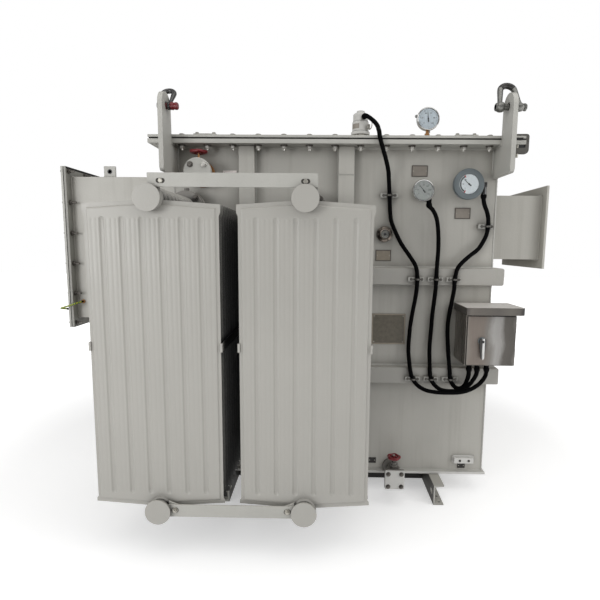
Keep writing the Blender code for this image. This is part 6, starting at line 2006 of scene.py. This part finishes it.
# Flexible conduits from the instruments to the box, held in clips
conduits = {
    "radius": 0.0105, "core": 0.0090, "ridge": 0.0105, "pitch": 0.0064, "top": 0.6787, "endRise": 0.026,
    "routes": {
        "conduit_relief": (0.721, (
            (0.1394, -0.3780, 1.859), (0.1448, -0.3973, 1.859), (0.162, -0.411, 1.846),
            (0.183, -0.432, 1.822), (0.194, -0.464, 1.796), (0.195, -0.502, 1.772), (0.194, -0.540, 1.753),
            (0.195, -0.557, 1.730), (0.203, -0.559, 1.697), (0.2155, -0.553, 1.662),
            (0.230, -0.536, 1.625), (0.2435, -0.510, 1.587), (0.251, -0.486, 1.545),
            (0.258, -0.470, 1.482), (0.262, -0.468, 1.420), (0.268, -0.470, 1.367), (0.285, -0.476, 1.320),
            (0.318, -0.486, 1.254), (0.358, -0.500, 1.195), (0.386, -0.507, 1.147), (0.394, -0.507, 1.094),
            (0.393, -0.507, 1.045), (0.390, -0.492, 0.990), (0.381, -0.482, 0.920), (0.373, -0.480, 0.852),
            (0.368, -0.484, 0.748), (0.371, -0.500, 0.690), (0.376, -0.507, 0.649),
            (0.3855, -0.508, 0.615), (0.406, -0.513, 0.582), (0.4405, -0.530, 0.5615),
            (0.485, -0.548, 0.5555), (0.548, -0.557, 0.5555), (0.604, -0.564, 0.561),
            (0.648, -0.569, 0.577), (0.686, -0.572, 0.604), (0.712, -0.566, 0.633),
        )),
        "conduit_thermometer": (0.677, (
            (0.432, -0.522, 1.437), (0.432, -0.522, 1.427), (0.450, -0.517, 1.413),
            (0.4715, -0.506, 1.3785), (0.482, -0.500, 1.338), (0.4875, -0.500, 1.279),
            (0.488, -0.502, 1.220), (0.484, -0.507, 1.151), (0.483, -0.507, 1.095), (0.482, -0.507, 1.045),
            (0.481, -0.492, 0.985), (0.477, -0.482, 0.910), (0.475, -0.480, 0.853), (0.470, -0.484, 0.760),
            (0.469, -0.500, 0.690), (0.471, -0.507, 0.643), (0.4755, -0.508, 0.614),
            (0.490, -0.511, 0.583), (0.520, -0.520, 0.560), (0.5555, -0.530, 0.5555),
            (0.5975, -0.534, 0.559), (0.634, -0.538, 0.5745), (0.656, -0.548, 0.602),
            (0.670, -0.557, 0.632),
        )),
        "conduit_level": (0.640, (
            (0.684, -0.508, 1.480), (0.684, -0.508, 1.468), (0.692, -0.499, 1.440),
            (0.7145, -0.485, 1.396), (0.725, -0.472, 1.352), (0.720, -0.472, 1.305),
            (0.705, -0.476, 1.270), (0.678, -0.484, 1.231), (0.640, -0.496, 1.203), (0.600, -0.505, 1.168),
            (0.580, -0.507, 1.140), (0.571, -0.507, 1.096), (0.569, -0.507, 1.045), (0.566, -0.492, 0.990),
            (0.557, -0.482, 0.910), (0.554, -0.480, 0.850), (0.557, -0.484, 0.780), (0.562, -0.500, 0.690),
            (0.566, -0.507, 0.645), (0.568, -0.507, 0.622), (0.5775, -0.507, 0.5885),
            (0.5975, -0.507, 0.566), (0.621, -0.509, 0.564), (0.638, -0.514, 0.580),
            (0.644, -0.527, 0.609), (0.642, -0.550, 0.636),
        )),
    },
}


def evenly(points, step):
    # the same line, with points one step apart
    points = [Vector(p) for p in points]
    total = sum((b - a).length for a, b in zip(points, points[1:]))
    count = max(2, round(total / step))
    step = total / count
    found, want, passed = [points[0]], step, 0.0
    for a, b in zip(points, points[1:]):
        length = (b - a).length
        while want <= passed + length + 1e-9 and len(found) < count:
            found.append(a.lerp(b, (want - passed) / length))
            want += step
        passed += length
    return [*found, points[-1]]


def conduitLine(name):
    entry, route = conduits["routes"][name]
    line = box["entryLine"]
    return [*route, (entry, line, conduits["top"] - conduits["endRise"]), (entry, line, conduits["top"])]


def makeConduit(name):
    points = curveThrough(conduitLine(name), 0.010)
    points = evenly(points, conduits["pitch"] / 2)
    radii = [conduits["ridge"] if k % 2 else conduits["core"] for k in range(len(points))]
    shape = bmesh.new()
    addTube(shape, points, radii, 14)
    finishPiece(f"{name}_hose", shape, "rubber", replaces=name, sharp=80)
    ends = bmesh.new()
    for tip, after in ((points[0], points[4]), (points[-1], points[-5])):
        way = (after - tip).normalized()
        addTurned(ends, tip - way * 0.002, way,
                  [(0.0120, 0), (0.0135, 0.001), (0.0135, 0.012), (0.0120, 0.015), (0.0112, 0.019)], 20)
    finishPiece(f"{name}_ferrules", ends, "rubber")


for name in conduits["routes"]:
    makeConduit(name)

# Clips: a light channel on the wall or the belt with a strap over the conduit
# Each place is (centre, height, plane, width)
clips = {
    "places": (
        (0.3885, 1.089, ribFront, 0.0745), (0.4790, 1.089, ribFront, 0.0715),
        (0.5650, 1.089, ribFront, 0.0660), (0.3885, 0.606, ribFront, 0.0720),
        (0.4765, 0.606, ribFront, 0.0700), (0.5680, 0.606, ribFront, 0.0775),
        (0.2570, 1.480, wallFront, 0.0830), (0.7140, 1.339, wallFront, 0.0690),
    ),
    "height": 0.022, "strap": 0.0022, "strapWidth": 0.008,
}


def nearestOn(lines, x, z):
    return min((p for line in lines for p in line), key=lambda p: (p.x - x) ** 2 + (p.z - z) ** 2)


def makeClips():
    lines = [evenly(curveThrough(conduitLine(name), 0.010), 0.004) for name in conduits["routes"]]
    channels, shades, straps, bolts = bmesh.new(), bmesh.new(), bmesh.new(), bmesh.new()
    for centre, z, plane, width in clips["places"]:
        at = nearestOn(lines, centre, z)
        half, reach = clips["height"] / 2, conduits["radius"]
        cx = at.x
        left, right = centre - width / 2, centre + width / 2
        face = at.y + reach * 0.1
        # a pressed channel: two thin lips out of the wall with a face between them, and painted shade
        # inside
        for x0, x1 in ((left, cx - reach - 0.002), (cx + reach + 0.002, right)):
            if x1 - x0 < 0.006:
                continue
            addBox(channels, (x0, face, z - half), (x1, face + 0.0022, z + half), 0.0009)
            addBox(channels, (x0, face, z + half - 0.0022), (x1, plane + 0.0004, z + half), 0.0006)
            addBox(channels, (x0, face, z - half), (x1, plane + 0.0004, z - half + 0.0022), 0.0006)
            addBox(shades, (x0 + 0.0008, face + 0.0024, z - half + 0.003),
                   (x1 - 0.0008, plane + 0.0002, z + half - 0.003))
            addBolt(bolts, ((x0 + x1) / 2, face, z), toFront, 0.0052, 0.0040)
        over = reach + 0.0008
        outline = [(cx - over - 0.012, face), (cx - over - 0.002, face), (cx - over, at.y - reach * 0.30)]
        outline += [(cx + over * math.cos(a), at.y + over * math.sin(a))
                    for a in [math.pi + math.pi * k / 12 for k in range(1, 12)]]
        outline += [(cx + over, at.y - reach * 0.30), (cx + over + 0.002, face), (cx + over + 0.012, face)]
        thick = clips["strap"]
        outer = []
        for k, (px, py) in enumerate(outline):
            before, after = outline[max(0, k - 1)], outline[min(len(outline) - 1, k + 1)]
            way = Vector((after[0] - before[0], after[1] - before[1])).normalized()
            outer.append((px + way.y * thick, py - way.x * thick))
        strip = clips["strapWidth"] / 2
        skin(straps, [[(*a, z - strip), (*b, z - strip), (*b, z + strip), (*a, z + strip)] for a,
                      b in zip(outline, outer)])
    finishPiece("conduit_clip_channels", channels, "steelwork")
    finishPiece("conduit_clip_insides", shades, "shadedGreyPaint")
    finishPiece("conduit_clip_straps", straps, "clampSteel", sharp=50)
    finishPiece("conduit_clip_bolts", bolts, "clampSteel")


makeClips()

jumper = {"radius": 0.0044, "route": (
    (-1.352, -0.2203, 0.932), (-1.352, -0.242, 0.932), (-1.366, -0.278, 0.926), (-1.392, -0.285, 0.917),
    (-1.424, -0.284, 0.907), (-1.445, -0.277, 0.901), (-1.450, -0.262, 0.897), (-1.442, -0.248, 0.894),
    (-1.428, -0.240, 0.892), (-1.4162, -0.238, 0.891),
)}


def makeJumper():
    points = evenly(curveThrough(jumper["route"], 0.006), 0.004)
    shape = bmesh.new()
    addTube(shape, points, jumper["radius"], 14)
    finishPiece("bonding_jumper_lead", shape, "jumperSleeve", replaces="bonding_jumper",
                sharp=80)
    sleeves = bmesh.new()
    addTube(sleeves, points[1:7], [0.0052, 0.0056, 0.0056, 0.0056, 0.0056, 0.0050], 14)
    addTube(sleeves, points[-6:-1], [0.0050, 0.0056, 0.0056, 0.0056, 0.0052], 14)
    finishPiece("bonding_jumper_sleeves", sleeves, "rubber")
    lugs = bmesh.new()
    x, y, z = jumper["route"][0]
    addTurned(lugs, (x, y, z), toFront, [(0.0105, 0), (0.0105, 0.003), (0.0090, 0.0036)], 20)
    addBolt(lugs, (x, y - 0.0037, z), toFront, 0.0075, 0.0055)
    finishPiece("bonding_jumper_lugs", lugs, "brass")


makeJumper()
print("conduits and clips made")


# Bare plates riveted to the front wall: (left, right, foot, top, face, border)
plates = {
    "upper_small_plate": (0.362, 0.436, 1.569, 1.620, "platePale", "plateBorder"),
    "middle_small_plate": (0.572, 0.645, 1.375, 1.426, "platePale", "plateBorder"),
    "sight_small_plate": (0.202, 0.275, 1.173, 1.225, "plateDull", "plateBorder"),
    "rating_plate": (0.191, 0.355, 0.765, 0.916, "plateBrown", "plateDull"),
    "pad_small_plate": (0.642, 0.679, 0.128, 0.153, "plateDark", "plateDark"),
    "drain_small_plate": (0.190, 0.228, 0.148, 0.176, "plateDark", "plateDark"),
    "valve_small_plate": (-0.529, -0.464, 1.570, 1.592, "plateWhite", "plateWhite"),
}


def makePlate(name):
    left, right, foot, top, finish, border = plates[name]
    plane = wallFront - 0.0002
    edge = 0.0035 if name != "rating_plate" else 0.006
    shape = bmesh.new()
    addBox(shape, (left + edge * 0.6, plane - 0.0016, foot + edge * 0.6),
           (right - edge * 0.6, plane, top - edge * 0.6), 0.0005)
    finishPiece(name, shape, finish)
    surround = bmesh.new()
    addSleeve(surround, "Y", plane - 0.0028, plane, (left, right, foot, top),
              (left + edge, right - edge, foot + edge, top - edge), 0.0003)
    finishPiece(f"{name}_border", surround, border)
    if name == "rating_plate":
        return [(x, z) for x in (left + edge * 1.9, right - edge * 1.9)
                for z in (foot + edge * 1.9, top - edge * 1.9)]
    return [(x, (foot + top) / 2) for x in (left + 0.0065, right - 0.0065)]


def makePlates():
    rivets = bmesh.new()
    for name in plates:
        for x, z in makePlate(name):
            addTurned(rivets, (x, wallFront - 0.0016, z), toFront,
                      [(0.0024, 0), (0.0022, 0.0009), (0.0012, 0.0015)], 12)
    finishPiece("plate_rivets", rivets, "zincBolt")


makePlates()
print("plates made")


# Floor, lights and background
studio = {"floorTone": 0.86, "ambient": 0.46}
# (place, aim, width and height, power, tint)
lamps = {
    "overhead": ((0.6, -1.6, 4.6), (0.1, -0.2, 0.8), (5.0, 3.0), 60, (1, 0.99, 0.97)),
    "left_side": ((-4.4, -2.4, 2.4), (-0.2, -0.5, 1.1), (2.4, 2.4), 22, (0.98, 0.99, 1)),
    "low_front": ((-2.7, -3.9, 1.5), (0.3, -0.5, 1.0), (1.5, 1.5), 50, (1, 1, 1)),
    "right_side": ((4.2, -2.4, 2.4), (0.4, -0.5, 1.1), (2.4, 2.4), 52, (1, 1, 1)),
}


def makeFloor():
    mesh = bpy.data.meshes.new("floor")
    mesh.from_pydata([(-14, -9, 0), (14, -9, 0), (14, 16, 0), (-14, 16, 0)], [], [(0, 1, 2, 3)])
    floor = bpy.data.objects.new("floor", mesh)
    bpy.context.scene.collection.objects.link(floor)
    made, nodes, links, shader = newMaterial("floor")
    shader.inputs["Roughness"].default_value = 0.9
    shader.inputs["Specular IOR Level"].default_value = 0.1
    place = nodes.new("ShaderNodeTexCoord").outputs["Object"]
    tone = studio["floorTone"]
    mottle = rangeNode(nodes, links, noiseNode(nodes, links, place, 1.4, 4), 0.3, 0.7, 0, 1)
    shade = blendNode(nodes, links, mottle, (tone * 0.985,) * 3, (tone,) * 3)
    links.new(shade, shader.inputs["Base Color"])
    # the camera and mirrors see the floor lifted towards white, and its shadows stay
    ray = nodes.new("ShaderNodeLightPath")
    seen = mathNode(nodes, links, "MAXIMUM", ray.outputs["Is Camera Ray"], ray.outputs["Is Glossy Ray"])
    shader.inputs["Emission Color"].default_value = (1, 1, 1, 1)
    reach = nodes.new("ShaderNodeVectorMath")
    reach.operation = "LENGTH"
    links.new(place, reach.inputs[0])
    far = rangeNode(nodes, links, reach.outputs["Value"], 1.6, 4.2, 0.38, 1.1)
    links.new(mathNode(nodes, links, "MULTIPLY", seen, far), shader.inputs["Emission Strength"])
    mesh.materials.append(made)


def makeWorld():
    sky = bpy.data.worlds.new("studio")
    sky.use_nodes = True
    nodes, links = sky.node_tree.nodes, sky.node_tree.links
    back = nodes["Background"]
    ray = nodes.new("ShaderNodeLightPath")
    seen = mathNode(nodes, links, "MAXIMUM", ray.outputs["Is Camera Ray"],
                    ray.outputs["Is Transmission Ray"])
    back.inputs["Color"].default_value = (1, 1, 1, 1)
    links.new(rangeNode(nodes, links, seen, 0, 1, studio["ambient"], 1.0), back.inputs["Strength"])
    bpy.context.scene.world = sky


def addLamp(name, place, aim, size, power, tint):
    lamp = bpy.data.lights.new(name, "AREA")
    lamp.shape, lamp.size, lamp.size_y = "RECTANGLE", size[0], size[1]
    lamp.energy, lamp.color = power, tint
    thing = bpy.data.objects.new(name, lamp)
    thing.matrix_world = Matrix.Translation(place) @ turnTo(Vector(place) - Vector(aim))
    bpy.context.scene.collection.objects.link(thing)


makeFloor()
makeWorld()
for name, setting in lamps.items():
    addLamp(name, *setting)
bpy.context.scene.view_settings.view_transform = "Standard"
print("studio lit")
